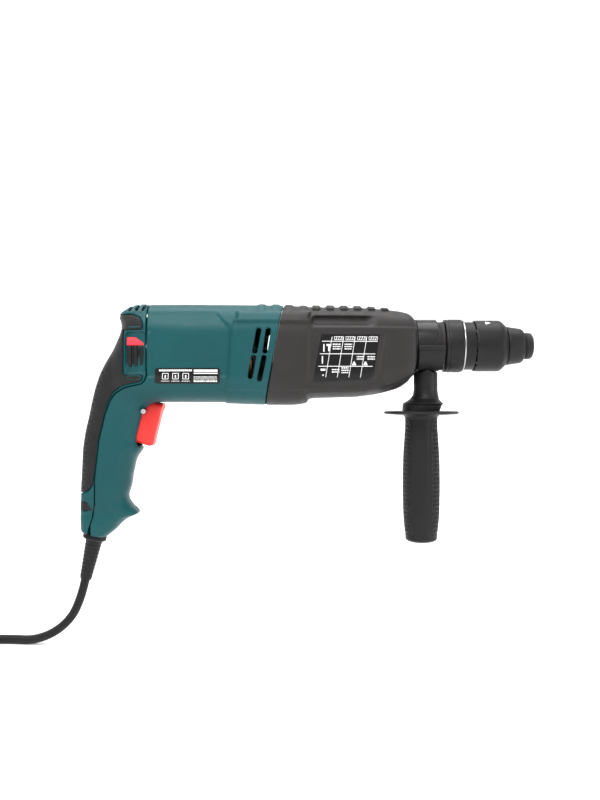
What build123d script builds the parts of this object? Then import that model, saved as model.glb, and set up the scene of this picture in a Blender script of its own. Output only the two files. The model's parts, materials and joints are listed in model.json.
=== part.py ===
from build123d import *
from math import cos, pi, radians, sin, tan
import os

# Rotary hammer with a quick-change chuck and a side handle, in millimetres.
# Frame: +X along the spindle towards the bit, +Z up, Y = 0 is the middle plane.
# The origin is the centre of the bit socket's mouth.

# ---- driving dimensions -------------------------------------------------------------
MOTOR_Z = -8.5  # motor axis, below the spindle
LAY_Z = -27.0  # intermediate shaft, below the spindle
WALL = 3.0
RUNNING = 0.04  # radial clearance of a shaft in its bearing
SEAM_TOP_X = -212.9  # slanted joint between motor and gear housing, at the roof
SEAM_LOW_X = -228.4  # the same joint at the belly
COVER_X = -326.0  # joint between handle cover and motor housing
CASE_FRONT_X = -102.5
CASE_REAR_X = -351.0
SOCKET_R = 5.0  # bore for a 10 mm slotted shank
COLLAR_R = 21.5  # 43 mm collar for the side handle
SPINDLE_R = 14.0
HUB_X = -182.0  # wobble hub and, at rest, the piston pin
GRIP_X = -95.3  # axis of the side grip
BAND_X = -92.0  # middle of the side handle's band
GUARD_LEAN = 12.5  # cord guard, degrees from the vertical
CORD_D = 7.5
FLOOR_Z = -257.0  # what the free cord lies on
LEAD_Y = 5.0  # where the cord runs into its coil
COIL_X = -504.5
COIL_OUT_R = 52.5  # centreline of the coil's outermost turn
COIL_IN_R = 30.0

MOTOR = Axis((0, 0, MOTOR_Z), (1, 0, 0))
LAY = Axis((0, 0, LAY_Z), (1, 0, 0))
SPINDLE = Axis((0, 0, 0), (1, 0, 0))

# Barrel sections: x, width, top, bottom, corner radius
BARREL = [
    (CASE_REAR_X, 50, 31.5, -30, 18),
    (-346, 60, 34, -40, 20),
    (COVER_X, 70, 34.4, -46, 22),
    (-300, 76, 34.4, -48.4, 24),
    (-226, 77, 34.4, -50, 24),
    (-197, 77, 34, -49.6, 24),
    (-190, 76, 33.6, -46.8, 23),
    (-150, 73, 32.6, -45.8, 22),
    (-124, 66, 30.6, -41.5, 20),
    (-112, 62, 28.6, -36, 19),
    (-105, 58, 25.8, -29, 18),
    (CASE_FRONT_X, 54, 18, -21, 16),
]

# Main handle sections: z, rear x, front x, width, corner radius
HANDLE = [
    (8, -350.5, -318, 54, 12),
    (-5, -357, -318, 54, 12),
    (-20, -366, -320, 50, 13),
    (-40, -373.5, -327, 45, 14),
    (-55, -377.5, -333.5, 41, 14),
    (-72, -381.5, -337.5, 38, 14),
    (-84, -383.5, -339.5, 36, 14),
    (-88, -384, -334.5, 36, 14),
    (-94, -384.4, -339.5, 36, 14),
    (-112, -385.3, -343, 36, 14),
    (-130, -386, -346.6, 36, 13),
    (-135, -386, -345, 35, 13),
    (-143, -386.3, -337.6, 34, 12),
    (-149, -386.6, -349, 34, 12),
    (-156, -386, -355.5, 33, 12),
    (-172, -386, -364, 32, 10),
]

PIECES = {}


def across(x):
    """A plane square to the spindle at x, with its own x along Y and its own y along Z."""
    return Plane(origin=(x, 0, 0), x_dir=(0, 1, 0), z_dir=(1, 0, 0))


def half_section(points, axis_z=0.0):
    """A closed half section, given as (x, radius) points, above an axis along X."""
    with BuildSketch(Plane.XZ) as section:
        with BuildLine():
            Polyline(*[(x, axis_z + r) for x, r in points], close=True)
        make_face()
    return section.sketch


def ring_section(x0, x1, r_in, r_out, axis_z=0.0):
    """The half section of a plain ring between x0 and x1."""
    return half_section([(x0, r_in), (x1, r_in), (x1, r_out), (x0, r_out)], axis_z)


def side_outline(points, y0, y1):
    """A prism whose (x, z) outline lies in the side view, between y0 and y1."""
    with BuildPart() as prism:
        with BuildSketch(Plane.XZ.offset(-y1)):
            with BuildLine():
                Polyline(*points, close=True)
            make_face()
        extrude(amount=y1 - y0)
    return prism.part


def barrel_form(inset):
    """The barrel's outer form, drawn in by inset all round its sections."""
    with BuildPart() as form:
        for x, width, top, bottom, corner in BARREL:
            with BuildSketch(Plane(origin=(x, 0, (top + bottom) / 2), x_dir=(0, 1, 0), z_dir=(1, 0, 0))):
                RectangleRounded(width - 2 * inset, top - bottom - 2 * inset, corner - inset)
        loft(ruled=True)
        if inset > 1:
            length = CASE_FRONT_X - CASE_REAR_X - 2 * inset
            with Locations(((CASE_FRONT_X + CASE_REAR_X) / 2, 0, 0)):
                Box(length, 200, 200, mode=Mode.INTERSECT)
    return form.part


def handle_form(inset):
    """The main handle's outer form, drawn in by inset, with its foot square to the guard."""
    foot = Plane(
        origin=(-375.3 + inset * sin(radians(GUARD_LEAN)), 0, -161.3 + inset),
        z_dir=(sin(radians(GUARD_LEAN)), 0, cos(radians(GUARD_LEAN))),
    )
    with BuildPart() as form:
        for z, rear, front, width, corner in HANDLE:
            with BuildSketch(Plane(origin=((rear + front) / 2, 0, z))):
                RectangleRounded(front - rear - 2 * inset, width - 2 * inset, corner - inset)
        loft(ruled=True)
        split(bisect_by=foot, keep=Keep.TOP)
    return form.part


def body_form(inset):
    """Barrel and handle together."""
    with BuildPart() as form:
        add(barrel_form(inset))
        add(handle_form(inset))
    return form.part


def tooth_outline(count, phase, addendum=0.7, dedendum=1.1):
    """The outline of a straight-cut wheel of module 1, from each tooth's root, pitch and tip half widths."""
    pitch = count / 2
    flank = [(pitch - dedendum, 0.85), (pitch, 0.56), (pitch + addendum, 0.26)]
    points = []
    for tooth in range(count):
        middle = phase + 2 * pi * tooth / count
        rise = [(r, middle - half / r) for r, half in flank]
        fall = [(r, middle + half / r) for r, half in reversed(flank)]
        points += [(r * cos(a), r * sin(a)) for r, a in rise + fall]
    return points


# ---- shared forms -------------------------------------------------------------------
outer = body_form(0)
inner = body_form(WALL)
skin = body_form(0.8)
pad_back = body_form(1.8)

# everything in front of the slanted joint
front_of_seam = side_outline(
    [(SEAM_TOP_X + 1.6, 45), (SEAM_LOW_X - 1.6, -60), (-60, -60), (-60, 45)], -60, 60
)
# everything behind the joint between handle cover and motor housing
behind_cover = side_outline(
    [
        (COVER_X, 45),
        (COVER_X, -29),
        (-345.7, -36),
        (-358.6, -46.4),
        (-362.9, -57.6),
        (-368.4, -79),
        (-372.4, -112),
        (-372.7, -140),
        (-378.4, -158),
        (-381, -175),
        (-400, -175),
        (-400, 45),
    ],
    -60,
    60,
)
pad_area = side_outline(
    [
        (-400, 24.5),
        (-333, 24.5),
        (-328.5, 16),
        (-328.5, -26),
        (-330.5, -31.5),
        (-351.8, -37.8),
        (-360.6, -55),
        (-368.1, -80.8),
        (-373.3, -115),
        (-377, -121.5),
        (-383.5, -124.7),
        (-400, -124.7),
    ],
    -60,
    60,
)

# ---- housings -----------------------------------------------------------------------
TRIGGER_PIN_X = -331.0
TRIGGER_PIN_Z = -56.0
SLIDER_X = (-343.6, -326.9)
SLIDER_Z = (-25.0, 9.5)
DIAL_X, DIAL_Y, DIAL_Z = -376.6, -8.4, -136.0
DIAL_R = 8.6
KNOB_X = -160.0
KNOB_Z = -8.0
FOOT = (-375.3, 0.0, -161.3)
FOOT_PLANE = Plane(origin=FOOT, z_dir=(sin(radians(GUARD_LEAN)), 0, cos(radians(GUARD_LEAN))))
PLATE_OUTLINE = [(-182.3, 8.9), (-132.9, 8.3), (-138.5, -26.7), (-141.9, -30.1), (-190, -32.3)]
LABEL_OUTLINE = [(-319, -19.8), (-264.9, -19.8), (-264.9, -33), (-319, -33)]
NOSE_SCREWS = [(20.9, 14.4), (-20.9, 14.4), (20.9, -14.4), (-20.9, -14.4)]

with BuildPart() as slider_window:
    with Locations(((SLIDER_X[0] + SLIDER_X[1]) / 2, -35, (SLIDER_Z[0] + SLIDER_Z[1]) / 2)):
        Box(SLIDER_X[1] - SLIDER_X[0], 30, SLIDER_Z[1] - SLIDER_Z[0])

with BuildPart() as dial_room:
    with Locations((DIAL_X, DIAL_Y, DIAL_Z)):
        Cylinder(DIAL_R + 0.35, 7.4)

with BuildPart() as data_plate:
    add(outer)
    add(skin, mode=Mode.SUBTRACT)
    add(side_outline(PLATE_OUTLINE, -60, 0), mode=Mode.INTERSECT)
PIECES["data_plate"] = data_plate

with BuildPart() as rating_label:
    add(outer)
    add(skin, mode=Mode.SUBTRACT)
    add(side_outline(LABEL_OUTLINE, -60, 0), mode=Mode.INTERSECT)
PIECES["rating_label"] = rating_label

with BuildPart() as handle_grip_pad:
    add(outer)
    add(pad_back, mode=Mode.SUBTRACT)
    add(pad_area, mode=Mode.INTERSECT)
    add(behind_cover, mode=Mode.INTERSECT)
    add(slider_window.part, mode=Mode.SUBTRACT)
PIECES["handle_grip_pad"] = handle_grip_pad

with BuildPart() as handle_cover:
    add(outer)
    add(inner, mode=Mode.SUBTRACT)
    add(behind_cover, mode=Mode.INTERSECT)
    # four slanted inlet vents through the roof
    for vent in range(4):
        with BuildSketch(Plane.XZ.offset(-18)):
            with Locations((-341.6 + 5.1 * vent, 31)):
                SlotOverall(12, 2.2, rotation=72)
        extrude(amount=36, mode=Mode.SUBTRACT)
    add(slider_window.part, mode=Mode.SUBTRACT)
    # window and room for the speed dial
    with Locations((-384.2, -16.2, DIAL_Z)):
        Box(11.4, 11.8, 7.4, mode=Mode.SUBTRACT)
    add(dial_room.part, mode=Mode.SUBTRACT)
    with Locations(FOOT_PLANE):
        Cylinder(7.3, 14, mode=Mode.SUBTRACT)
    add(handle_grip_pad.part, mode=Mode.SUBTRACT)
PIECES["handle_cover"] = handle_cover

# bar across the rear that carries the armature's rear bearing
with BuildPart() as bearing_bar:
    with Locations((-324, 0, -6.9)):
        Box(4, 22, 90)
    add(inner, mode=Mode.INTERSECT)

with BuildPart() as motor_housing:
    add(outer)
    add(inner, mode=Mode.SUBTRACT)
    add(bearing_bar.part)
    add(front_of_seam, mode=Mode.SUBTRACT)
    add(behind_cover, mode=Mode.SUBTRACT)
    revolve(ring_section(-333, -324, 11.0, 13.6, MOTOR_Z), axis=MOTOR)
    with Locations(Location((-328, 0, MOTOR_Z), (0, 90, 0))):
        Cylinder(11.0, 16, mode=Mode.SUBTRACT)
    # slot for the trigger, from the handle's front wall to the barrel's belly
    with Locations((-326, 0, -67.9)):
        Box(46, 21, 38.4, mode=Mode.SUBTRACT)
    with Locations(Location((TRIGGER_PIN_X, 0, TRIGGER_PIN_Z), (90, 0, 0))):
        Cylinder(2.0, 38, mode=Mode.SUBTRACT)
    # two rows of slanted outlet vents on each side
    for x, z in ((-236.5, 1.5), (-228.5, 1.5), (-240.3, -20), (-232.3, -20)):
        with BuildSketch(Plane.XZ.offset(-60)):
            with Locations((x, z)):
                SlotOverall(19, 3.8, rotation=79)
        extrude(amount=120, mode=Mode.SUBTRACT)
    # passage for the cord guard
    with Locations(FOOT_PLANE):
        Cylinder(7.3, 14, mode=Mode.SUBTRACT)
    add(dial_room.part, mode=Mode.SUBTRACT)
    add(rating_label.part, mode=Mode.SUBTRACT)
PIECES["motor_housing"] = motor_housing

with BuildPart() as nose_screws:
    with BuildSketch(across(-111)):
        with Locations(*NOSE_SCREWS):
            Circle(1.7)
    extrude(amount=5.5)
    with BuildSketch(across(-105.5)):
        with Locations(*NOSE_SCREWS):
            Circle(2.4)
    extrude(amount=2.6)
PIECES["nose_screws"] = nose_screws

with BuildPart() as gear_housing:
    add(barrel_form(0))
    add(barrel_form(WALL), mode=Mode.SUBTRACT)
    add(front_of_seam, mode=Mode.INTERSECT)
    # round mouth for the nose housing
    with Locations(Location((CASE_FRONT_X, 0, 0), (0, 90, 0))):
        Cylinder(22.9, 20, mode=Mode.SUBTRACT)
    # hole for the mode knob's stem
    with Locations(Location((KNOB_X, 36, KNOB_Z), (90, 0, 0))):
        Cylinder(8.4, 20, mode=Mode.SUBTRACT)
    add(data_plate.part, mode=Mode.SUBTRACT)
    add(nose_screws.part, mode=Mode.SUBTRACT)
PIECES["gear_housing"] = gear_housing

# flange behind the front wall, bearing seat, and the collar in front
with BuildPart() as nose_housing:
    revolve(
        half_section(
            [
                (-118, 20.0), (-108, 20.0), (-108, 15.0), (-77.2, 15.0), (-77.2, 20.5), (-83.2, 20.5),
                (-83.2, COLLAR_R), (-100.9, COLLAR_R), (-100.9, 22.8), (-106.5, 22.8), (-106.5, 23.5),
                (-118, 23.5),
            ]
        ),
        axis=SPINDLE,
    )
    with BuildSketch(across(-110.5)):
        RectangleRounded(46.6, 38, 5)
        Circle(22, mode=Mode.SUBTRACT)
    extrude(amount=4)
    add(nose_screws.part, mode=Mode.SUBTRACT)
PIECES["nose_housing"] = nose_housing

# ---- main handle controls -----------------------------------------------------------
with BuildPart() as trigger:
    with BuildSketch(Plane.XZ.offset(-9.8)):
        with BuildLine():
            Polyline(
                (-334.3, -55.5), (-326.5, -49.0), (-309.2, -51.2), (-317.4, -53.9), (-319.6, -60.2),
                (-323.0, -74.0), (-324.8, -83.4), (-327.0, -85.4), (-338.6, -82.6), (-346.0, -80.0),
                (-344.5, -66.0), (-338.0, -55.5), close=True,
            )
        make_face()
    extrude(amount=19.6)
    with Locations(Location((TRIGGER_PIN_X, 0, TRIGGER_PIN_Z), (90, 0, 0))):
        Cylinder(2.05, 30, mode=Mode.SUBTRACT)
    fillet(trigger.faces().filter_by(Axis.Y).edges().filter_by_position(Axis.X, -330, -300), 1.2)
PIECES["trigger"] = trigger

with BuildPart() as trigger_pin:
    with Locations(Location((TRIGGER_PIN_X, 0, TRIGGER_PIN_Z), (90, 0, 0))):
        Cylinder(2.0, 38)
PIECES["trigger_pin"] = trigger_pin

with BuildPart() as switch_body:
    with Locations((-360.5, 0, -74)):
        Box(18, 20, 36)
    with Locations((-350.6, 0, -66)):
        Box(2.4, 8, 8)
    fillet(switch_body.edges().filter_by(Axis.Z).sort_by(Axis.X)[:2], 1.5)
PIECES["switch_body"] = switch_body

with BuildPart() as reversing_slider:
    # base plate inside the cover, thumb piece with three ribs in the window
    with Locations((-335.2, -28.6, -6.6)):
        Box(15.4, 2.0, 25.6)
    with Locations((-334.75, -31.3, -12.9)):
        Box(15.0, 3.6, 12.4)
    for rib in range(3):
        with Locations((-339.2 + 4.5 * rib, -33.4, -12.9)):
            Box(2.2, 1.6, 11)
    # fork that turns the brush plate
    with Locations((-323.4, -26.6, -8.5)):
        Box(9.8, 2.0, 5.0)
PIECES["reversing_slider"] = reversing_slider

with BuildPart() as slider_mark:
    with Locations((-334.75, -31.0, -0.6)):
        Box(15.0, 2.8, 11.6)
    fillet(slider_mark.edges().filter_by(Axis.Y), 0.8)
PIECES["slider_mark"] = slider_mark

with BuildPart() as brush_plate:
    revolve(ring_section(-321, -317.4, 14.5, 29.4, MOTOR_Z), axis=MOTOR)
    # notch that the slider's fork works in
    with Locations((-320, -27.5, MOTOR_Z)):
        Box(9, 8, 7.4, mode=Mode.SUBTRACT)
    # two open brush holders
    for side in (-1, 1):
        with Locations((-312.2, side * 21, MOTOR_Z)):
            Box(10.4, 15, 11)
            Box(8.2, 16, 8.2, mode=Mode.SUBTRACT)
PIECES["brush_plate"] = brush_plate

with BuildPart() as carbon_brushes:
    for side in (-1, 1):
        with Locations((-312.2, side * 17.1, MOTOR_Z)):
            Box(8.0, 10.0, 8.0)
PIECES["carbon_brushes"] = carbon_brushes

with BuildPart() as brush_springs:
    for side in (-1, 1):
        for turn in range(3):
            with Locations(Location((-312.2, side * (23.1 + 2.0 * turn), MOTOR_Z), (90, 0, 0))):
                Cylinder(3.2, 1.0)
                Cylinder(1.8, 1.0, mode=Mode.SUBTRACT)
        with Locations((-312.2, side * 25.4, MOTOR_Z)):
            Box(1.0, 6.0, 6.0)
PIECES["brush_springs"] = brush_springs

with BuildPart() as speed_dial:
    with Locations((DIAL_X, DIAL_Y, DIAL_Z)):
        Cylinder(DIAL_R, 6.6)
        Cylinder(2.2, 11)
    # knurled rim
    with Locations((DIAL_X, DIAL_Y, DIAL_Z)):
        with PolarLocations(DIAL_R + 0.4, 30):
            Cylinder(0.7, 6.6, mode=Mode.SUBTRACT)
PIECES["speed_dial"] = speed_dial

with BuildPart() as mode_knob:
    with BuildSketch(Plane.XZ.offset(-38.2)):
        with Locations((KNOB_X, KNOB_Z)):
            Circle(20)
    extrude(amount=-4.5)
    with BuildSketch(Plane.XZ.offset(-42.7)):
        with Locations((KNOB_X, KNOB_Z)):
            SlotOverall(38, 12, rotation=90)
    extrude(amount=-6)
    with BuildSketch(Plane.XZ.offset(-26)):
        with Locations((KNOB_X, KNOB_Z)):
            Circle(8.0)
    extrude(amount=-12.2)
    # pocket of the lock button
    with Locations(Location((KNOB_X, 47.5, KNOB_Z + 11), (90, 0, 0))):
        Cylinder(3.6, 7, mode=Mode.SUBTRACT)
PIECES["mode_knob"] = mode_knob

with BuildPart() as mode_button:
    with Locations(Location((KNOB_X, 47.9, KNOB_Z + 11), (90, 0, 0))):
        Cylinder(3.3, 4.6)
    fillet(mode_button.edges().sort_by(Axis.Y)[-1], 0.8)
PIECES["mode_button"] = mode_button

# ---- motor --------------------------------------------------------------------------
with BuildPart() as shaft_bearings:
    for x0, x1, bore in ((-333, -326, 4.0), (-221, -215, 5.0)):
        revolve(ring_section(x0, x1, bore + RUNNING, bore + 2.2, MOTOR_Z), axis=MOTOR)
        revolve(ring_section(x0, x1, 9.0, 11.0, MOTOR_Z), axis=MOTOR)
        revolve(ring_section(x0 + 2, x1 - 2, bore + 2.2, 9.0, MOTOR_Z), axis=MOTOR)
    # needle bearing and plain ball bearing of the intermediate shaft
    revolve(ring_section(-215, -207, 4.5 + RUNNING, 6.5, LAY_Z), axis=LAY)
    revolve(ring_section(-138, -130, 4.0 + RUNNING, 8.0, LAY_Z), axis=LAY)
PIECES["shaft_bearings"] = shaft_bearings

with BuildPart() as armature_shaft:
    revolve(
        half_section(
            [
                (-333.5, 0), (-333.5, 4), (-325.5, 4), (-325.5, 5), (-215, 5), (-215, 4.0),
                (-206, 4.0), (-206, 2.4), (-196.5, 2.4), (-196.5, 0),
            ],
            MOTOR_Z,
        ),
        axis=MOTOR,
    )
    # pinion of seven teeth, one pointing down into the wheel below it
    with BuildSketch(Plane(origin=(-206, 0, MOTOR_Z), x_dir=(0, 1, 0), z_dir=(1, 0, 0))):
        with BuildLine():
            Polyline(*tooth_outline(7, -pi / 2, dedendum=1.1), close=True)
        make_face()
    extrude(amount=9.5)
PIECES["armature_shaft"] = armature_shaft

CORE_X = (-297.0, -247.0)

with BuildPart() as armature_core:
    with BuildSketch(Plane(origin=(CORE_X[0], 0, MOTOR_Z), x_dir=(0, 1, 0), z_dir=(1, 0, 0))):
        Circle(18)
        Circle(5, mode=Mode.SUBTRACT)
        with PolarLocations(17, 12):
            Rectangle(4, 1.6, mode=Mode.SUBTRACT)
    extrude(amount=CORE_X[1] - CORE_X[0])
PIECES["armature_core"] = armature_core

with BuildPart() as armature_windings:
    for x0, x1 in ((-302.5, CORE_X[0]), (CORE_X[1], -241.5)):
        revolve(ring_section(x0, x1, 5.0, 14.5, MOTOR_Z), axis=MOTOR)
PIECES["armature_windings"] = armature_windings

with BuildPart() as commutator:
    with BuildSketch(Plane(origin=(-317, 0, MOTOR_Z), x_dir=(0, 1, 0), z_dir=(1, 0, 0))):
        Circle(12)
        Circle(5, mode=Mode.SUBTRACT)
        with PolarLocations(12, 24):
            Rectangle(1.6, 0.4, mode=Mode.SUBTRACT)
    extrude(amount=12.5)
PIECES["commutator"] = commutator

with BuildPart() as cooling_fan:
    revolve(ring_section(-238, -236.6, 5.0, 28.5, MOTOR_Z), axis=MOTOR)
    revolve(ring_section(-238, -228, 5.0, 8.0, MOTOR_Z), axis=MOTOR)
    with BuildSketch(Plane(origin=(-238, 0, MOTOR_Z), x_dir=(0, 1, 0), z_dir=(1, 0, 0))):
        with PolarLocations(20, 11):
            Rectangle(16, 1.4, rotation=24)
    extrude(amount=10)
PIECES["cooling_fan"] = cooling_fan

with BuildPart() as stator_core:
    with BuildSketch(Plane(origin=(CORE_X[0], 0, MOTOR_Z), x_dir=(0, 1, 0), z_dir=(1, 0, 0))):
        Circle(32.5)
        Rectangle(64, 58, mode=Mode.INTERSECT)
        Circle(18.6, mode=Mode.SUBTRACT)
        # two winding windows, left and right
        for side in (-1, 1):
            with Locations((side * 22, 0)):
                Rectangle(12, 28, mode=Mode.SUBTRACT)
    extrude(amount=CORE_X[1] - CORE_X[0])
PIECES["stator_core"] = stator_core

with BuildPart() as field_coils:
    for side in (-1, 1):
        for half in (-1, 1):
            with Locations(((CORE_X[0] + CORE_X[1]) / 2, side * 23.6, MOTOR_Z + half * 6.4)):
                Box(60, 7.6, 11)
    for x in (-304.5, -244.5):
        for half in (-1, 1):
            with BuildSketch(Plane(origin=(x, 0, MOTOR_Z), x_dir=(0, 1, 0), z_dir=(1, 0, 0))):
                Circle(27.4)
                Circle(19.8, mode=Mode.SUBTRACT)
                with Locations((0, half * 16)):
                    Rectangle(60, 30, mode=Mode.INTERSECT)
            extrude(amount=5)
PIECES["field_coils"] = field_coils

# ---- gearbox ------------------------------------------------------------------------
with BuildPart() as inner_housing:
    with Locations((-218, 0, 0)):
        Box(8, 90, 110)
    add(barrel_form(WALL), mode=Mode.INTERSECT)
    revolve(ring_section(-215, -207, 6.5, 9.0, LAY_Z), axis=LAY)
    with Locations(Location((-218, 0, MOTOR_Z), (0, 90, 0))):
        Cylinder(11.0, 6, mode=Mode.SUBTRACT)
        Cylinder(8.0, 12, mode=Mode.SUBTRACT)
    with Locations(Location((-218.5, 0, MOTOR_Z), (0, 90, 0))):
        Cylinder(11.0, 7, mode=Mode.SUBTRACT)
    with Locations(Location((-212, 0, LAY_Z), (0, 90, 0))):
        Cylinder(6.5, 12, mode=Mode.SUBTRACT)
PIECES["inner_housing"] = inner_housing

with BuildPart() as middle_bearing_plate:
    with Locations((-133, 0, 0)):
        Box(10, 90, 110)
    add(barrel_form(WALL), mode=Mode.INTERSECT)
    with Locations(Location((-133, 0, 0), (0, 90, 0))):
        Cylinder(17.0, 20, mode=Mode.SUBTRACT)
    with Locations(Location((-133, 0, LAY_Z), (0, 90, 0))):
        Cylinder(8.0, 20, mode=Mode.SUBTRACT)
PIECES["middle_bearing_plate"] = middle_bearing_plate

with BuildPart() as intermediate_shaft:
    revolve(
        half_section(
            [
                (-215, 0), (-215, 4.5), (-206.5, 4.5), (-206.5, 4.8), (-138, 4.8), (-138, 4.0),
                (-129.5, 4.0), (-129.5, 0),
            ],
            LAY_Z,
        ),
        axis=LAY,
    )
    # pinion of twelve teeth, with a gap pointing up
    with BuildSketch(Plane(origin=(-167, 0, LAY_Z), x_dir=(0, 1, 0), z_dir=(1, 0, 0))):
        with BuildLine():
            Polyline(*tooth_outline(12, pi / 2 + pi / 12), close=True)
        make_face()
    extrude(amount=12)
PIECES["intermediate_shaft"] = intermediate_shaft

with BuildPart() as intermediate_gear:
    # thirty teeth, with a gap pointing up
    with BuildSketch(Plane(origin=(-205.5, 0, LAY_Z), x_dir=(0, 1, 0), z_dir=(1, 0, 0))):
        with BuildLine():
            Polyline(*tooth_outline(30, pi / 2 + pi / 30), close=True)
        make_face()
        Circle(4.8, mode=Mode.SUBTRACT)
    extrude(amount=8.5)
PIECES["intermediate_gear"] = intermediate_gear

with BuildPart() as wobble_hub:
    with Locations((HUB_X, 0, LAY_Z)):
        Sphere(10.0)
        Box(15, 30, 30, mode=Mode.INTERSECT)
    with Locations(Location((HUB_X, 0, LAY_Z), (0, 90, 0))):
        Cylinder(4.8, 30, mode=Mode.SUBTRACT)
PIECES["wobble_hub"] = wobble_hub

with BuildPart() as wobble_arm:
    with Locations(Location((HUB_X, 0, LAY_Z), (0, 90, 0))):
        Cylinder(13.0, 10)
    with Locations((HUB_X, 0, LAY_Z)):
        Sphere(10.06, mode=Mode.SUBTRACT)
    with BuildSketch(Plane.XY.offset(LAY_Z + 11.5)):
        with Locations((HUB_X, 0)):
            Circle(3.0)
    extrude(amount=21)
PIECES["wobble_arm"] = wobble_arm

with BuildPart() as piston:
    # hollow cylinder, open at the front, with a fork at the rear
    revolve(
        half_section(
            [(-172, 0), (-164, 0), (-164, 8.5), (-130, 8.5), (-130, 10.94), (-172, 10.94)]
        ),
        axis=SPINDLE,
    )
    for side in (-1, 1):
        with Locations((-180, side * 6.1, 0)):
            Box(17, 3.8, 11)
    with Locations(Location((HUB_X, 0, 0), (90, 0, 0))):
        Cylinder(4.25, 30, mode=Mode.SUBTRACT)
PIECES["piston"] = piston

with BuildPart() as piston_pin:
    with Locations(Location((HUB_X, 0, 0), (90, 0, 0))):
        Cylinder(4.2, 15.6)
    with Locations((HUB_X, 0, 0)):
        Cylinder(3.18, 20, mode=Mode.SUBTRACT)
PIECES["piston_pin"] = piston_pin

with BuildPart() as striker:
    revolve(
        half_section([(-160, 0), (-160, 8.45), (-137, 8.45), (-136, 7.4), (-136, 0)]),
        axis=SPINDLE,
    )
PIECES["striker"] = striker

with BuildPart() as impact_bolt:
    revolve(
        half_section(
            [
                (-122, 0), (-122, 6.0), (-104, 6.0), (-104, 8.5), (-92, 8.5), (-90, 4.9),
                (-60.3, 4.9), (-60.3, 0),
            ]
        ),
        axis=SPINDLE,
    )
PIECES["impact_bolt"] = impact_bolt

with BuildPart() as spindle:
    revolve(
        half_section(
            [
                (-170, 11.0), (-113, 11.0), (-113, 8.56), (-84, 8.56), (-84, 5.6), (-60, 5.6),
                (-60, 13.0), (-108, 13.0), (-108, SPINDLE_R), (-143, SPINDLE_R), (-143, 17.5),
                (-148, 17.5), (-148, SPINDLE_R), (-170, SPINDLE_R),
            ]
        ),
        axis=SPINDLE,
    )
PIECES["spindle"] = spindle

with BuildPart() as spindle_gear:
    # forty-two teeth, one pointing down into the pinion's gap
    with BuildSketch(across(-166)):
        with BuildLine():
            Polyline(*tooth_outline(42, -pi / 2), close=True)
        make_face()
        Circle(SPINDLE_R, mode=Mode.SUBTRACT)
    extrude(amount=9)
PIECES["spindle_gear"] = spindle_gear

with BuildPart() as clutch_springs:
    # three disc springs, stacked face against face
    for disc in range(3):
        x = -157 + 3.0 * disc
        revolve(
            half_section([(x, 14.1), (x + 1.2, 14.1), (x + 3.0, 18.0), (x + 1.8, 18.0)]),
            axis=SPINDLE,
        )
PIECES["clutch_springs"] = clutch_springs

with BuildPart() as spindle_bearings:
    # rear bush and front ball bearing
    revolve(ring_section(-138, -128, SPINDLE_R + RUNNING, 17.0), axis=SPINDLE)
    revolve(ring_section(-118, -108, SPINDLE_R + RUNNING, 16.0), axis=SPINDLE)
    revolve(ring_section(-118, -108, 18.2, 20.0), axis=SPINDLE)
    revolve(ring_section(-116, -110, 16.0, 18.2), axis=SPINDLE)
PIECES["spindle_bearings"] = spindle_bearings

# ---- chuck --------------------------------------------------------------------------
with BuildPart() as chuck_body:
    revolve(
        half_section(
            [
                (-76.2, 13.0), (-60, 13.0), (-60, 18.0), (-51, 18.0), (-51, 20.5), (-60, 20.5),
                (-60, 21.8), (-61.2, 21.8), (-61.2, 18.0), (-76.2, 18.0),
            ]
        ),
        axis=SPINDLE,
    )
PIECES["chuck_body"] = chuck_body

with BuildPart() as chuck_change_sleeve:
    revolve(ring_section(-76.4, -61.5, 18.06, 22.8), axis=SPINDLE)
    fillet(chuck_change_sleeve.edges().filter_by(GeomType.CIRCLE).filter_by(lambda e: e.radius > 22), 0.8)
PIECES["chuck_change_sleeve"] = chuck_change_sleeve

with BuildPart() as tool_holder:
    revolve(
        half_section(
            [
                (-60, SOCKET_R), (-1.5, SOCKET_R), (-1.5, 9.0), (-9.0, 9.0), (-9.0, 10.2),
                (-54, 10.2), (-54, 18.0), (-60, 18.0),
            ]
        ),
        axis=SPINDLE,
    )
    # radial holes of the two locking balls
    with Locations((-30, 0, 0)):
        Cylinder(2.6, 30, mode=Mode.SUBTRACT)
PIECES["tool_holder"] = tool_holder

with BuildPart() as locking_balls:
    with Locations((-30, 0, 7.55), (-30, 0, -7.55)):
        Sphere(2.5)
PIECES["locking_balls"] = locking_balls

with BuildPart() as release_sleeve:
    revolve(
        half_section(
            [
                (-50.7, 20.85), (-36, 20.85), (-34, 18.6), (-34, 10.55), (-23.4, 12.67),
                (-23.4, 16.8), (-28.5, 21.9), (-50.7, 21.9),
            ]
        ),
        axis=SPINDLE,
    )
PIECES["release_sleeve"] = release_sleeve

SPRING_TURNS = 5
SPRING_PITCH = 3.6

with BuildPart() as release_spring:
    with BuildLine() as spring_line:
        Helix(
            pitch=SPRING_PITCH,
            height=SPRING_PITCH * SPRING_TURNS,
            radius=14.5,
            center=(-52.9, 0, 0),
            direction=(1, 0, 0),
        )
    with BuildSketch(Plane(origin=spring_line.line @ 0, z_dir=spring_line.line % 0)):
        Circle(0.7)
    sweep(path=spring_line.line, is_frenet=True)
PIECES["release_spring"] = release_spring

with BuildPart() as nose_cone:
    revolve(
        half_section(
            [(-23, 10.2), (-7, 10.2), (-7, 11.2), (-9.5, 14.6), (-22, 16.4), (-23, 15.6)]
        ),
        axis=SPINDLE,
    )
PIECES["nose_cone"] = nose_cone

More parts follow.
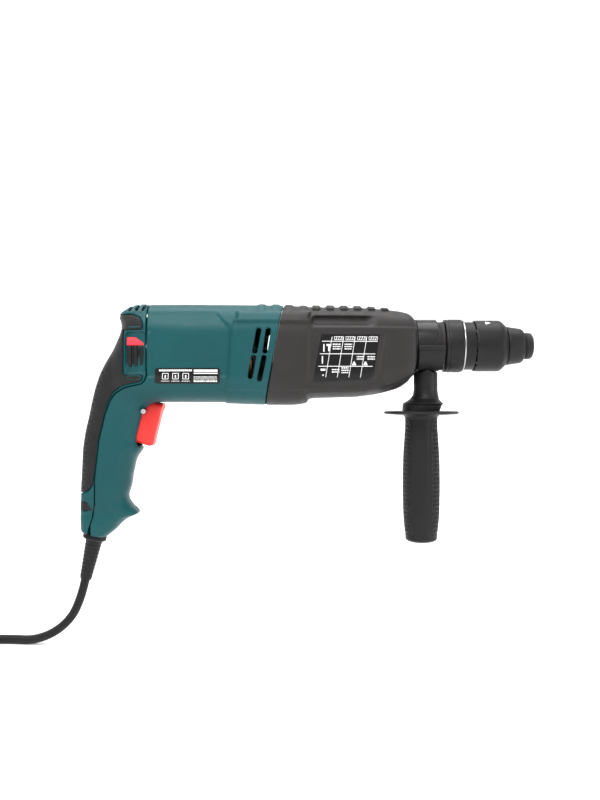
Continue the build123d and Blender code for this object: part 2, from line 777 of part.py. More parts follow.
with BuildPart() as dust_cap:
    revolve(
        half_section(
            [
                (-7, 9.0), (-1.5, 9.0), (-1.5, SOCKET_R), (0, SOCKET_R), (0, 9.7),
                (-1.5, 11.2), (-7, 11.2),
            ]
        ),
        axis=SPINDLE,
    )
PIECES["dust_cap"] = dust_cap

# ---- side handle --------------------------------------------------------------------
with BuildPart() as clamp_band:
    revolve(ring_section(-100.6, -83.4, COLLAR_R + 0.06, 22.8), axis=SPINDLE)
PIECES["clamp_band"] = clamp_band

with BuildPart() as side_handle_base:
    # saddle under the band
    with BuildSketch(across(-100.6)):
        Circle(26)
        with Locations((0, -14)):
            Rectangle(60, 26, mode=Mode.INTERSECT)
        Circle(22.8, mode=Mode.SUBTRACT)
    extrude(amount=22.3)
    with BuildSketch(Plane.XY.offset(-21)):
        with Locations((-91.0, 0)):
            Circle(10)
    extrude(amount=-25)
    with BuildSketch(Plane.XY.offset(-42)):
        with Locations((-91.5, 0)):
            Circle(10)
    with BuildSketch(Plane.XY.offset(-50.5)):
        with Locations((-93.7, 0)):
            Circle(17.8)
    loft(ruled=True)
    with BuildSketch(Plane.XY.offset(-50.5)):
        with Locations((GRIP_X, 0)):
            Circle(16)
    extrude(amount=-5)
    # the band's room and the bolt's hole
    with Locations(Location((BAND_X, 0, 0), (0, 90, 0))):
        Cylinder(22.8, 60, mode=Mode.SUBTRACT)
    with Locations((GRIP_X, 0, -45)):
        Cylinder(4.3, 60, mode=Mode.SUBTRACT)
PIECES["side_handle_base"] = side_handle_base

with BuildPart() as side_handle_bolt:
    with BuildSketch(Plane.XY.offset(-24.5)):
        with Locations((GRIP_X, 0)):
            Circle(4.0)
    extrude(amount=-59.5)
PIECES["side_handle_bolt"] = side_handle_bolt

with BuildPart() as side_grip:
    with BuildSketch(Plane.XZ):
        with BuildLine():
            Polyline(
                (GRIP_X + 4.06, -55.8), (GRIP_X + 32.2, -56.2), (GRIP_X + 32.2, -58.8),
                (GRIP_X + 14.5, -59.6), (GRIP_X + 14.0, -66), (GRIP_X + 15.8, -95),
                (GRIP_X + 15.8, -125), (GRIP_X + 14.3, -160), (GRIP_X + 13.0, -166.5),
                (GRIP_X + 10, -168), (GRIP_X, -168), (GRIP_X, -84.5), (GRIP_X + 4.06, -84.5),
                close=True,
            )
        make_face()
    revolve(axis=Axis((GRIP_X, 0, 0), (0, 0, 1)))
PIECES["side_grip"] = side_grip

# ---- cord ---------------------------------------------------------------------------
LEAN = (-sin(radians(GUARD_LEAN)), 0.0, -cos(radians(GUARD_LEAN)))


def along_guard(distance):
    """The point this far down the cord guard's axis from the handle's foot."""
    return tuple(FOOT[i] + LEAN[i] * distance for i in range(3))


GUARD_LENGTH = 39.7
CORD_Z = FLOOR_Z + CORD_D / 2

with BuildPart() as cord_guard:
    with BuildSketch(Plane(origin=along_guard(-9), z_dir=LEAN)):
        Circle(7.0)
    extrude(amount=9)
    with BuildSketch(Plane(origin=FOOT, z_dir=LEAN)):
        Circle(10.0)
    extrude(amount=4.7)
    with BuildSketch(Plane(origin=along_guard(4.7), z_dir=LEAN)):
        Circle(7.4)
    with BuildSketch(Plane(origin=along_guard(GUARD_LENGTH), z_dir=LEAN)):
        Circle(4.8)
    loft()
PIECES["cord_guard"] = cord_guard

with BuildPart() as cord_clamp:
    with Locations((-370.5, 0, -146)):
        Box(22, 16, 5)
        Cylinder(CORD_D / 2, 12, mode=Mode.SUBTRACT)
PIECES["cord_clamp"] = cord_clamp

CORD_START = along_guard(GUARD_LENGTH)
CORD_END_X = -472.0
ROUTE = [
    CORD_START,
    (-389.1, 0.0, -223.4),
    (-403.9, 0.6, -242.6),
    (-425.8, 1.6, CORD_Z),
    (-449.0, LEAD_Y, CORD_Z),
    (CORD_END_X, LEAD_Y, CORD_Z),
]


def bend_radii(points):
    """One radius for each corner of a route: 0.45 of the shorter run over the tangent of half the turn."""
    radii = []
    for before, here, after in zip(points, points[1:], points[2:]):
        arriving = Vector(*here) - Vector(*before)
        leaving = Vector(*after) - Vector(*here)
        turn = radians(arriving.get_angle(leaving))
        radii.append(0.45 * min(arriving.length, leaving.length) / tan(turn / 2))
    return radii


RADII = bend_radii(ROUTE)

with BuildPart() as power_cord:
    with BuildLine():
        cord_path = FilletPolyline(*ROUTE, radius=RADII)
    with BuildSketch(Plane(origin=ROUTE[0], z_dir=LEAN)):
        Circle(CORD_D / 2)
    sweep(path=cord_path)
PIECES["power_cord"] = power_cord

print("cord bend radii", [round(r, 1) for r in RADII])
SECTION_VOLUME = cord_path.length * pi * CORD_D**2 / 4
print("cord tube length", round(cord_path.length, 1))
print("cord tube volume over section x length", round(power_cord.part.volume / SECTION_VOLUME, 4))

COIL_Y = LEAD_Y - COIL_OUT_R
COIL_HEIGHT = 2 * CORD_D
COIL_TOP = FLOOR_Z + COIL_HEIGHT
RING_OUT = COIL_OUT_R + CORD_D / 2
RING_IN = COIL_IN_R - CORD_D / 2
PLUG_HALF_HEIGHT = 11.2
PLUG_HEADING = radians(250)  # the way the plug points, seen from above
PLUG_START = (COIL_X - 24.4, COIL_Y + 14.1, COIL_TOP + PLUG_HALF_HEIGHT)
# the cord's last stretch climbs off the top turn and bends in towards the plug
TAIL = [
    (COIL_X + 44.6, COIL_Y + 25.8, -248.0),
    (COIL_X + 33.2, COIL_Y + 40.4, -245.6),
    (COIL_X + 15.9, COIL_Y + 47.7, -241.5),
    (COIL_X - 3.2, COIL_Y + 44.4, -236.6),
    (COIL_X - 17.9, COIL_Y + 32.0, -231.8),
    PLUG_START,
]
TAIL_RADII = bend_radii(TAIL)
print("tail bend radii", [round(r, 1) for r in TAIL_RADII])

with BuildPart() as cord_coil:
    with BuildSketch(Plane.XY.offset(FLOOR_Z)):
        with Locations((COIL_X, COIL_Y)):
            Circle(RING_OUT)
            Circle(RING_IN, mode=Mode.SUBTRACT)
    extrude(amount=COIL_HEIGHT)
    fillet(cord_coil.edges().filter_by(GeomType.CIRCLE), 3.0)
    # the cord runs in at the floor, at a tangent
    with BuildSketch(Plane(origin=(CORD_END_X, LEAD_Y, CORD_Z), z_dir=(-1, 0, 0))):
        Circle(CORD_D / 2)
    extrude(amount=CORD_END_X - COIL_X)
    with BuildLine():
        tail_path = FilletPolyline(*TAIL, radius=TAIL_RADII)
    with BuildSketch(Plane(origin=TAIL[0], z_dir=tail_path % 0)):
        Circle(CORD_D / 2)
    sweep(path=tail_path)

with BuildPart() as cord_tie:
    # a strap round the whole bundle, on the side away from the plug
    with Locations((COIL_X + (RING_OUT + RING_IN) / 2, COIL_Y, FLOOR_Z + COIL_HEIGHT / 2 + 0.6)):
        Box(RING_OUT - RING_IN + 2.6, 12, COIL_HEIGHT + 1.2)
        with Locations((0, 0, -0.1)):
            Box(RING_OUT - RING_IN + 0.2, 12, COIL_HEIGHT - 0.6, mode=Mode.SUBTRACT)
PIECES["cord_tie"] = cord_tie

with cord_coil:
    add(cord_tie.part, mode=Mode.SUBTRACT)
PIECES["cord_coil"] = cord_coil


def across_plug(distance):
    """A plane square to the plug, this far from its cord end, its own x level."""
    heading = (cos(PLUG_HEADING), sin(PLUG_HEADING), 0)
    centre = tuple(start + distance * step for start, step in zip(PLUG_START, heading))
    return Plane(origin=centre, x_dir=(-heading[1], heading[0], 0), z_dir=heading)


with BuildPart() as plug_body:
    # strain relief, then a flat rounded body lying on its side
    with BuildSketch(across_plug(0)):
        Circle(4.9)
    with BuildSketch(across_plug(22)):
        Circle(7.5)
    loft()
    with BuildSketch(across_plug(22)):
        Ellipse(10, 9)
    with BuildSketch(across_plug(40)):
        Ellipse(17.5, PLUG_HALF_HEIGHT)
    loft()
    with BuildSketch(across_plug(40)):
        Ellipse(17.5, PLUG_HALF_HEIGHT)
    extrude(amount=8)
PIECES["plug_body"] = plug_body

with BuildPart() as plug_pins:
    for side in (-1, 1):
        with BuildSketch(across_plug(48)):
            with Locations((side * 9.5, 0)):
                Circle(2.4)
        extrude(amount=19)
    tips = plug_pins.faces().sort_by(Axis(PLUG_START, (cos(PLUG_HEADING), sin(PLUG_HEADING), 0)))[-2:]
    fillet(tips.edges(), 1.0)
PIECES["plug_pins"] = plug_pins

# ---- files --------------------------------------------------------------------------
os.makedirs("parts", exist_ok=True)
for name, piece in PIECES.items():
    piece.part.label = name
    export_step(piece.part, f"parts/{name}.step")
print(len(PIECES), "nodes")
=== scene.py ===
import json
from math import acos, ceil, cos, pi, radians, sin, tan

import bmesh
import bpy
import numpy as np
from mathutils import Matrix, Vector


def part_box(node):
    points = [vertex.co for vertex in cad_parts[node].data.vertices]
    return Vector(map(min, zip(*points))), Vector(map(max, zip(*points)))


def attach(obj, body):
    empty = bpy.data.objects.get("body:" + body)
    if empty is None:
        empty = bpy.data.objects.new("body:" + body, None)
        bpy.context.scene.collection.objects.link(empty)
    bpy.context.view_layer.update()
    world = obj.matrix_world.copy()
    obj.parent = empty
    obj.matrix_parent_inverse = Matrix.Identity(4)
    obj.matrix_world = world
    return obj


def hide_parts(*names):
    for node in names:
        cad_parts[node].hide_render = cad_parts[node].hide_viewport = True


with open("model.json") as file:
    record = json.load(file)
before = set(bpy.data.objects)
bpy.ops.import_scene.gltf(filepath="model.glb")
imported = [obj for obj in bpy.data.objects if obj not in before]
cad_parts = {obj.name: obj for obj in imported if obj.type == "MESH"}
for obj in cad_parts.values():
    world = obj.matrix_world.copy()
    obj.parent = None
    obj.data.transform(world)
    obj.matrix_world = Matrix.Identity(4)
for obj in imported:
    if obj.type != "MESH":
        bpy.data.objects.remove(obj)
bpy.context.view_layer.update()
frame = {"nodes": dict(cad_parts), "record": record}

import openvdb
from mathutils import Matrix, Vector

# Rotary hammer. Lengths in this file are millimetres until a mesh is made; the scene is in metres.
MM = 0.001

COVER_X = -326.0  # joint between the handle cover and the motor housing
SEAM_TOP_X, SEAM_LOW_X = -212.9, -228.4  # slanted joint in front of the motor housing
CASE_FRONT_X = -102.5
GRIP_X = -95.3  # axis of the side grip
GUARD_LEAN = radians(12.5)  # the cord guard leans back by this
FOOT = Vector((-375.3, 0.0, -161.3))
LEAN = Vector((-sin(GUARD_LEAN), 0.0, -cos(GUARD_LEAN)))
CORD_R = 3.75
FLOOR_Z = -257.0
SOCKET_R = 5.0
CORD_Z = FLOOR_Z + CORD_R


def add_object(name, data):
    made = bpy.data.objects.new(name, data)
    bpy.context.scene.collection.objects.link(made)
    return made


def round_angles(count):
    return np.linspace(0, 2 * pi, count, endpoint=False)


# ---- camera, floor and light -----------------------------------------------------------
def look_at(name, data, place, target):
    made = add_object(name, data)
    made.location = place
    made.rotation_euler = (Vector(target) - Vector(place)).to_track_quat("-Z", "Y").to_euler()
    return made


def make_camera():
    data = bpy.data.cameras.new("camera")
    data.sensor_width = 36
    data.lens = 18 / tan(radians(48.7 / 2))
    bpy.context.scene.camera = look_at("camera", data, (-0.1995, -0.76, -0.0464), (-0.1995, 0, -0.0464))


def area_light(name, place, target, size, power, shade=(1, 1, 1)):
    data = bpy.data.lights.new(name, "AREA")
    data.shape = "RECTANGLE"
    data.size, data.size_y = size
    data.energy = power
    data.color = shade
    look_at(name, data, place, target)


def make_stage():
    """A pale floor that curves up into a backdrop, a white world and three soft lights."""
    profile = [(-2.5, 0.0), (0.5, 0.0)]
    profile += [(0.5 + 0.8 * sin(a), 0.8 - 0.8 * cos(a)) for a in np.linspace(0.15, pi / 2, 16)]
    profile += [(1.3, 3.2)]
    mesh = bpy.data.meshes.new("floor")
    verts = [(side * 4.0, y, FLOOR_Z * MM + z) for y, z in profile for side in (-1, 1)]
    faces = [(2 * i, 2 * i + 1, 2 * i + 3, 2 * i + 2) for i in range(len(profile) - 1)]
    mesh.from_pydata(verts, [], faces)
    mesh.shade_smooth()
    floor = add_object("floor", mesh)
    mesh.materials.append(paper_white())
    world = bpy.data.worlds.new("world")
    world.use_nodes = True
    world.node_tree.nodes["Background"].inputs["Color"].default_value = (1, 1, 1, 1)
    world.node_tree.nodes["Background"].inputs["Strength"].default_value = 0.84
    bpy.context.scene.world = world
    bpy.context.scene.view_settings.view_transform = "Standard"
    area_light("key", (-0.5, -0.9, 0.9), (-0.22, 0, -0.02), (1.0, 0.7), 16)
    area_light("top", (-0.2, 0.1, 1.1), (-0.2, 0, 0), (1.4, 0.8), 16)
    area_light("fill", (0.9, -0.5, 0.1), (-0.15, 0, -0.05), (0.7, 0.9), 5)


# ---- materials -------------------------------------------------------------------------
class Surface:
    """A material in the making, its textures laid out in the piece's own coordinates."""

    def __init__(self, name, color, roughness, **sockets):
        self.material = bpy.data.materials.new(name)
        self.material.use_nodes = True
        self.nodes, self.links = self.material.node_tree.nodes, self.material.node_tree.links
        self.shader = self.nodes["Principled BSDF"]
        self.shader.inputs["Base Color"].default_value = (*color, 1)
        self.shader.inputs["Roughness"].default_value = roughness
        self.shader.inputs["Specular IOR Level"].default_value = 0.22
        for socket, value in sockets.items():
            self.shader.inputs[socket.replace("_", " ")].default_value = value
        self.place = self.nodes.new("ShaderNodeTexCoord").outputs["Object"]

    def node(self, kind, **sockets):
        node = self.nodes.new(kind)
        for socket, value in sockets.items():
            node.inputs[socket.replace("_", " ")].default_value = value
        return node

    def texture(self, kind, **sockets):
        node = self.node(kind, **sockets)
        self.links.new(self.place, node.inputs["Vector"])
        return node

    def noise(self, scale, detail=4.0, roughness=0.55):
        node = self.texture("ShaderNodeTexNoise", Scale=scale, Detail=detail, Roughness=roughness)
        return node.outputs["Fac"]

    def remap(self, value, low, high, out_low, out_high):
        node = self.node("ShaderNodeMapRange", From_Min=low, From_Max=high, To_Min=out_low, To_Max=out_high)
        self.links.new(value, node.inputs["Value"])
        return node.outputs["Result"]

    def blend(self, factor, first, second):
        node = self.nodes.new("ShaderNodeMix")
        node.data_type = "RGBA"
        self.links.new(factor, node.inputs["Factor"])
        for socket, value in ((node.inputs["A"], first), (node.inputs["B"], second)):
            if isinstance(value, tuple):
                socket.default_value = (*value, 1)
            else:
                self.links.new(value, socket)
        return node.outputs["Result"]

    def bump(self, height, distance):
        node = self.node("ShaderNodeBump", Distance=distance, Strength=1.0)
        self.links.new(height, node.inputs["Height"])
        return node.outputs["Normal"]

    def finish(self, color, roughness=None, normal=None):
        """Leads what is given to the shader and hands back the material."""
        for socket, output in (("Base Color", color), ("Roughness", roughness), ("Normal", normal)):
            if output is not None:
                self.links.new(output, self.shader.inputs[socket])
        return self.material


def shaded(color, factor):
    return tuple(channel * factor for channel in color)


def moulded(name, color, roughness, grain=2600, relief=0.00006, wear_and_highlight_gain=1.35):
    """Moulded plastic: spark-eroded grain, slow colour drift, and edges painted paler, partly as wear and
    partly as a painted highlight along the edges.
    """
    s = Surface(name, color, roughness)
    drift = s.remap(s.noise(22, 3), 0.3, 0.7, 0, 1)
    base = s.blend(drift, shaded(color, 0.92), shaded(color, 1.08))
    # pointiness lightens the edges: partly wear, partly a painted highlight along them
    edge_wear_and_highlight = s.remap(s.node("ShaderNodeNewGeometry").outputs["Pointiness"], 0.53, 0.62, 0, 0.55)
    pale = tuple(min(1.0, c * wear_and_highlight_gain + 0.004) for c in color)
    gloss = s.remap(s.noise(160, 4), 0.3, 0.7, roughness - 0.05, roughness + 0.07)
    return s.finish(s.blend(edge_wear_and_highlight, base, pale), gloss, s.bump(s.noise(grain, 2, 0.5), relief))


def soft_rubber(name, color, grain=1500):
    """Moulded rubber: coarse matt grain with dust in its hollows and a faint sheen."""
    s = Surface(name, color, 0.72, Sheen_Weight=0.15, Sheen_Roughness=0.5)
    fine = s.noise(grain, 3, 0.6)
    dust = s.remap(fine, 0.35, 0.6, 0, 1)
    return s.finish(s.blend(dust, shaded(color, 1.5), shaded(color, 0.9)),
                    s.remap(s.noise(90, 3), 0.3, 0.7, 0.62, 0.8), s.bump(fine, 0.00012))


def turned_steel(name, color, roughness, metallic=1.0, rings=4200, relief=0.00001):
    """Turned metal: tool rings along X and fine scratches, with darker spots of oil."""
    s = Surface(name, color, roughness, Metallic=metallic)
    wave = s.texture("ShaderNodeTexWave", Scale=rings / 20, Distortion=1.5, Detail=3)
    wave.bands_direction = "X"
    spots = s.remap(s.noise(70, 5), 0.35, 0.7, 0, 1)
    return s.finish(s.blend(spots, shaded(color, 0.82), shaded(color, 1.05)),
                    s.remap(s.noise(420, 3), 0.3, 0.7, roughness - 0.06, roughness + 0.08),
                    s.bump(wave.outputs["Fac"], relief))


def cast_metal(name, color):
    """Sand-cast alloy: pitted, pale, unevenly dull."""
    s = Surface(name, color, 0.5, Metallic=1.0)
    pits = s.noise(900, 5, 0.65)
    return s.finish(s.blend(s.remap(pits, 0.3, 0.7, 0, 1), shaded(color, 0.7), color),
                    s.remap(pits, 0.3, 0.7, 0.42, 0.62), s.bump(pits, 0.0001))


def wound_copper(name, color):
    """Varnished winding wire: close bright strands with painted shade in the gaps between them."""
    s = Surface(name, color, 0.35, Metallic=0.85)
    strands = s.texture("ShaderNodeTexWave", Scale=160, Distortion=2.5).outputs["Fac"]
    # the gaps between strands are darkened as painted shade
    return s.finish(s.blend(strands, shaded(color, 0.35), color), normal=s.bump(strands, 0.0002))


def paper_white():
    """Matt white card with the faintest mottle."""
    s = Surface("white_card", (0.93, 0.93, 0.93), 0.9)
    return s.finish(s.blend(s.noise(3, 2), (0.925, 0.925, 0.925), (0.94, 0.94, 0.94)))


def printed_ink(name, color):
    """White label print: slightly uneven ink coverage."""
    s = Surface(name, color, 0.45)
    cover = s.remap(s.noise(900, 3), 0.3, 0.6, 0, 1)
    return s.finish(s.blend(cover, shaded(color, 0.82), color))


TEAL = (0.0022, 0.056, 0.062)
# the edge figure given to moulded sets how much paler its edges are painted: partly wear, partly a painted
# highlight
MATERIALS = {
    "teal_plastic": moulded("teal_plastic", TEAL, 0.42),
    "dark_case": moulded("dark_case", (0.019, 0.0175, 0.017), 0.46),
    "grip_rubber": soft_rubber("grip_rubber", (0.006, 0.006, 0.0065)),
    "black_plastic": moulded("black_plastic", (0.008, 0.008, 0.0085), 0.42, wear_and_highlight_gain=1.8),
    "red_plastic": moulded("red_plastic", (0.68, 0.035, 0.03), 0.36, relief=0.00003, wear_and_highlight_gain=1.1),
    "chuck_steel": turned_steel("chuck_steel", (0.011, 0.011, 0.0115), 0.42, 0.2),
    "steel": turned_steel("steel", (0.55, 0.55, 0.56), 0.3),
    "cast_alloy": cast_metal("cast_alloy", (0.5, 0.51, 0.52)),
    "label_film": moulded("label_film", (0.004, 0.004, 0.0045), 0.3, grain=900, relief=0.00001),
    "copper_wire": wound_copper("copper_wire", (0.6, 0.25, 0.09)),
    "carbon": moulded("carbon", (0.03, 0.03, 0.03), 0.5, wear_and_highlight_gain=2.0),
    "cord_rubber": soft_rubber("cord_rubber", (0.006, 0.006, 0.006), 900),
    "pin_metal": turned_steel("pin_metal", (0.75, 0.74, 0.7), 0.22, rings=2500),
}
SLIDER_RED = moulded("slider_red", (0.86, 0.03, 0.05), 0.4, relief=0.00003, wear_and_highlight_gain=1.1)
LABEL_INK = printed_ink("label_ink", (0.8, 0.8, 0.8))
BRIGHT_RING = turned_steel("bright_ring", (0.5, 0.5, 0.5), 0.25)
GLOSS_BAND = moulded("gloss_band", (0.014, 0.014, 0.0145), 0.22, relief=0.00001, wear_and_highlight_gain=2.0)
HANDLE_RUBBER = moulded("handle_rubber", (0.007, 0.007, 0.0075), 0.48, grain=1900, wear_and_highlight_gain=2.2)


# ---- fields: signed distances on a grid, negative inside -------------------------------
class Grid:
    """Sample points with an even step in a box; x, y and z broadcast against each other."""

    def __init__(self, low, high, step):
        self.low, self.step = np.array(low, float), step
        counts = [int(ceil((b - a) / step)) + 1 for a, b in zip(low, high)]
        lines = [(low[i] + step * np.arange(counts[i])).astype(np.float32) for i in range(3)]
        self.x, self.y, self.z = lines[0][:, None, None], lines[1][None, :, None], lines[2][None, None, :]


def smooth_min(a, b, k):
    h = np.clip(0.5 + 0.5 * (b - a) / k, 0, 1)
    return b * (1 - h) + a * h - k * h * (1 - h)


def smooth_max(a, b, k):
    return -smooth_min(-a, -b, k)


def soft_step(value, width):
    """0 below, 1 above, with a soft ramp of this width round zero."""
    t = np.clip(value / width + 0.5, 0, 1)
    return t * t * (3 - 2 * t)


def inside(distance, width):
    """1 inside a shape, 0 outside, with a soft edge."""
    return soft_step(-distance, width)


def curve(at, table, column):
    """A smooth curve through a table's rows: at is looked up in column 0."""
    keys = np.array([row[0] for row in table], float)
    values = np.array([row[column] for row in table], float)
    slopes = np.gradient(values, keys)
    at = np.clip(at, keys[0], keys[-1])
    i = np.clip(np.searchsorted(keys, at, side="right") - 1, 0, len(keys) - 2)
    width = keys[i + 1] - keys[i]
    t = (at - keys[i]) / width
    a, b = values[i], values[i + 1]
    return (a * (1 + 2 * t) * (1 - t) ** 2 + slopes[i] * width * t * (1 - t) ** 2
            + b * t * t * (3 - 2 * t) + slopes[i + 1] * width * t * t * (t - 1)).astype(np.float32)


def polygon(x, z, points, rounding=0.0):
    """Signed distance to a closed outline in the side view, its corners rounded."""
    best, sign = None, None
    for (ax, az), (bx, bz) in zip(points, points[1:] + points[:1]):
        ex, ez, wx, wz = bx - ax, bz - az, x - ax, z - az
        t = np.clip((wx * ex + wz * ez) / (ex * ex + ez * ez), 0, 1)
        d = (wx - ex * t) ** 2 + (wz - ez * t) ** 2
        up, down, left = z >= az, z < bz, ex * wz > ez * wx
        flip = np.where((up & down & left) | (~up & ~down & ~left), -1.0, 1.0)
        best = d if best is None else np.minimum(best, d)
        sign = flip if sign is None else sign * flip
    return (sign * np.sqrt(best)).astype(np.float32) - rounding


def capsule(x, z, a, b, r):
    """Signed distance to a rounded bar in the side view."""
    ex, ez = b[0] - a[0], b[1] - a[1]
    t = np.clip(((x - a[0]) * ex + (z - a[1]) * ez) / (ex * ex + ez * ez + 1e-9), 0, 1)
    return np.hypot(x - a[0] - ex * t, z - a[1] - ez * t) - r


def rectangle(u, v, centre, half, r):
    """Signed distance to a rounded rectangle of these half sides."""
    a, b = np.abs(u - centre[0]) - half[0] + r, np.abs(v - centre[1]) - half[1] + r
    return np.hypot(np.maximum(a, 0), np.maximum(b, 0)) + np.minimum(np.maximum(a, b), 0) - r


# ---- meshes ----------------------------------------------------------------------------
def place_piece(name, mesh, body, slot, replaced=(), material=None):
    """Adds a piece on a body; its material is its slot's own unless another one is given."""
    piece = add_object(name, mesh)
    mesh.materials.append(material or MATERIALS[slot])
    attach(piece, body)
    if replaced:
        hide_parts(*replaced)
    return piece


def sample(field, where):
    """Trilinear samples of an array at fractional indices."""
    base = np.clip(np.floor(where).astype(int), 0, np.array(field.shape) - 2)
    f = where - base
    total = 0
    for corner in range(8):
        i, j, k = corner & 1, corner >> 1 & 1, corner >> 2
        weight = np.abs(1 - i - f[:, 0]) * np.abs(1 - j - f[:, 1]) * np.abs(1 - k - f[:, 2])
        total = total + weight * field[base[:, 0] + i, base[:, 1] + j, base[:, 2] + k]
    return total


def field_piece(name, grid, field, body, slot, replaced=(), adaptivity=0.003, material=None):
    """Meshes the zero surface of a field, with normals taken from the field itself."""
    reach = 3 * grid.step
    field = np.clip(np.ascontiguousarray(field, np.float32), -reach, reach)
    volume = openvdb.FloatGrid(reach)
    volume.copyFromArray(field)
    points, triangles, quads = volume.convertToPolygons(isovalue=0.0, adaptivity=adaptivity)
    slopes = [sample(np.gradient(field, axis=axis), points) for axis in range(3)]
    normals = np.stack(slopes, axis=1)
    normals /= np.maximum(np.linalg.norm(normals, axis=1, keepdims=True), 1e-6)
    mesh = bpy.data.meshes.new(name)
    verts = (points * grid.step + grid.low) * MM
    mesh.from_pydata(verts.tolist(), [], triangles.tolist() + quads.tolist())
    mesh.validate()
    mesh.shade_smooth()
    mesh.normals_split_custom_set_from_vertices(normals.tolist())
    return place_piece(name, mesh, body, slot, replaced, material)


def ring_mesh(name, rings, closed_ends=True):
    """A tube of vertex rings, each a list of points in metres, with its ends filled."""
    count = len(rings[0])
    mesh = bpy.data.meshes.new(name)
    verts = [tuple(p) for ring in rings for p in ring]
    faces = []
    for r in range(len(rings) - 1):
        for i in range(count):
            j = (i + 1) % count
            faces.append((r * count + i, r * count + j, (r + 1) * count + j, (r + 1) * count + i))
    if closed_ends:
        faces.append(tuple(reversed(range(count))))
        faces.append(tuple((len(rings) - 1) * count + i for i in range(count)))
    mesh.from_pydata(verts, [], faces)
    made = bmesh.new()
    made.from_mesh(mesh)
    bmesh.ops.recalc_face_normals(made, faces=made.faces)
    made.to_mesh(mesh)
    made.free()
    return mesh


def soften(profile, radius, parts=3):
    """Rounds a closed profile's corners with arcs of about this radius."""
    out = []
    for before, here, after in zip(profile[-1:] + profile[:-1], profile, profile[1:] + profile[:1]):
        p, a, b = Vector(here), Vector(before) - Vector(here), Vector(after) - Vector(here)
        reach = min(radius, 0.45 * a.length, 0.45 * b.length)
        start, end = p + a.normalized() * reach, p + b.normalized() * reach
        for i in range(parts + 1):
            t = i / parts
            out.append(start * (1 - t) ** 2 + p * 2 * t * (1 - t) + end * t * t)
    return out


def turned_piece(name, profile, body, slot, replaced, radius, material=None):
    """A solid turned about the spindle from a closed (x, radius) profile with softened edges."""
    points = soften(profile, radius)
    rings = [[(p[0] * MM, p[1] * sin(a) * MM, p[1] * cos(a) * MM)
              for a in round_angles(144)] for p in points]
    mesh = ring_mesh(name, rings + rings[:1], closed_ends=False)
    made = bmesh.new()
    made.from_mesh(mesh)
    bmesh.ops.remove_doubles(made, verts=made.verts, dist=1e-7)
    bmesh.ops.recalc_face_normals(made, faces=made.faces)
    made.to_mesh(mesh)
    made.free()
    mesh.shade_smooth()
    mesh.set_sharp_from_angle(angle=radians(50))
    return place_piece(name, mesh, body, slot, replaced, material)


# ---- outer form of the tool ------------------------------------------------------------
# barrel sections: x, half width, top, bottom, corner radius
BARREL = [
    (-356, 22, 30.0, -34, 16), (-350, 27.5, 32.4, -40, 19), (-343, 31.5, 33.8, -45, 21),
    (-334, 34.0, 34.0, -47.6, 22), (-318, 36.5, 34.0, -48.2, 24), (-295, 38.0, 34.0, -48.3, 25),
    (-262, 38.0, 33.8, -48.5, 25), (-240, 38.2, 33.6, -49.4, 25), (-215, 38.4, 33.2, -49.8, 25),
    (-200, 38.2, 32.6, -49.4, 25), (-190, 37.6, 32.0, -47.2, 25), (-170, 37.2, 31.8, -46.2, 24),
    (-150, 36.4, 31.4, -45.4, 24), (-136, 35.0, 30.6, -43.6, 23), (-124, 33.0, 29.6, -40.8, 22),
    (-114, 31.2, 28.2, -37.0, 20), (-107, 29.6, 25.8, -31.0, 18), (-101, 27.4, 20.0, -20.5, 15),
]
# handle sections: z, front x, half width, corner radius
HANDLE = [
    (-180, -372, 15.5, 10), (-163, -364.5, 16.2, 11), (-156.5, -357, 16.6, 12), (-150, -350.5, 16.8, 13),
    (-146.5, -345.0, 16.6, 13), (-143.4, -338.2, 16.2, 12), (-140.5, -338.6, 16.4, 13),
    (-136, -343.2, 17.0, 14), (-131, -346.3, 17.6, 15), (-119, -344.3, 18.2, 15.5), (-105, -342, 18.4, 15.5),
    (-95, -339.2, 18.6, 15.5), (-87.5, -334.8, 18.8, 14), (-82, -336.5, 18.9, 14), (-68, -334.5, 19.4, 14),
    (-55, -331, 20.6, 14), (-40, -324, 23.5, 14), (-20, -318, 26, 13), (8, -316, 27, 12), (30, -316, 27, 12),
]
# rear outline of the whole tool: z, x
REAR = [
    (-180, -386.0), (-160, -386.2), (-146, -386.8), (-129, -386.2), (-108, -385.0), (-88, -383.8),
    (-70.5, -381.0), (-60, -378.3), (-50, -376.0), (-40, -373.2), (-33, -371.0), (-26, -368.2),
    (-19, -364.8), (-12, -360.8), (-5, -356.6), (2, -353.2), (8.6, -350.4), (14, -349.2), (18.9, -350.0),
    (22.6, -352.2), (25.8, -353.3), (29.2, -351.2), (32, -347.6), (34.6, -343.0), (38, -338),
]


def body_form(x, y, z):
    """Signed distance to the smooth outer form: barrel and handle, with the foot cut square to the guard."""
    half, top, bottom, corner = (curve(x, BARREL, column) for column in (1, 2, 3, 4))
    barrel = rectangle(y, z, (0, (top + bottom) / 2), (half, (top - bottom) / 2), corner)
    barrel = smooth_max(barrel, x - CASE_FRONT_X, 3.0)
    rear, front = curve(z, REAR, 1), curve(z, HANDLE, 1)
    deep, round_by = curve(z, HANDLE, 2), curve(z, HANDLE, 3)
    handle = rectangle(x, y, ((rear - 12 + front) / 2, 0), ((front - rear + 12) / 2, deep), round_by)
    handle = smooth_max(handle, z - 12, 8.0)
    form = smooth_min(barrel, handle, 11.0)
    form = smooth_max(form, rear - x, 13.0)
    foot = -((x - FOOT.x) * sin(GUARD_LEAN) + (z - FOOT.z) * cos(GUARD_LEAN))
    return smooth_max(form, foot, 2.5)


def seam_side(x, z):
    """Negative in front of the slanted joint between motor housing and gear housing."""
    lean = (SEAM_LOW_X - SEAM_TOP_X) / (-50.3 - 34.4)
    return (SEAM_TOP_X + (z - 34.4) * lean - x) / np.sqrt(1 + lean * lean)


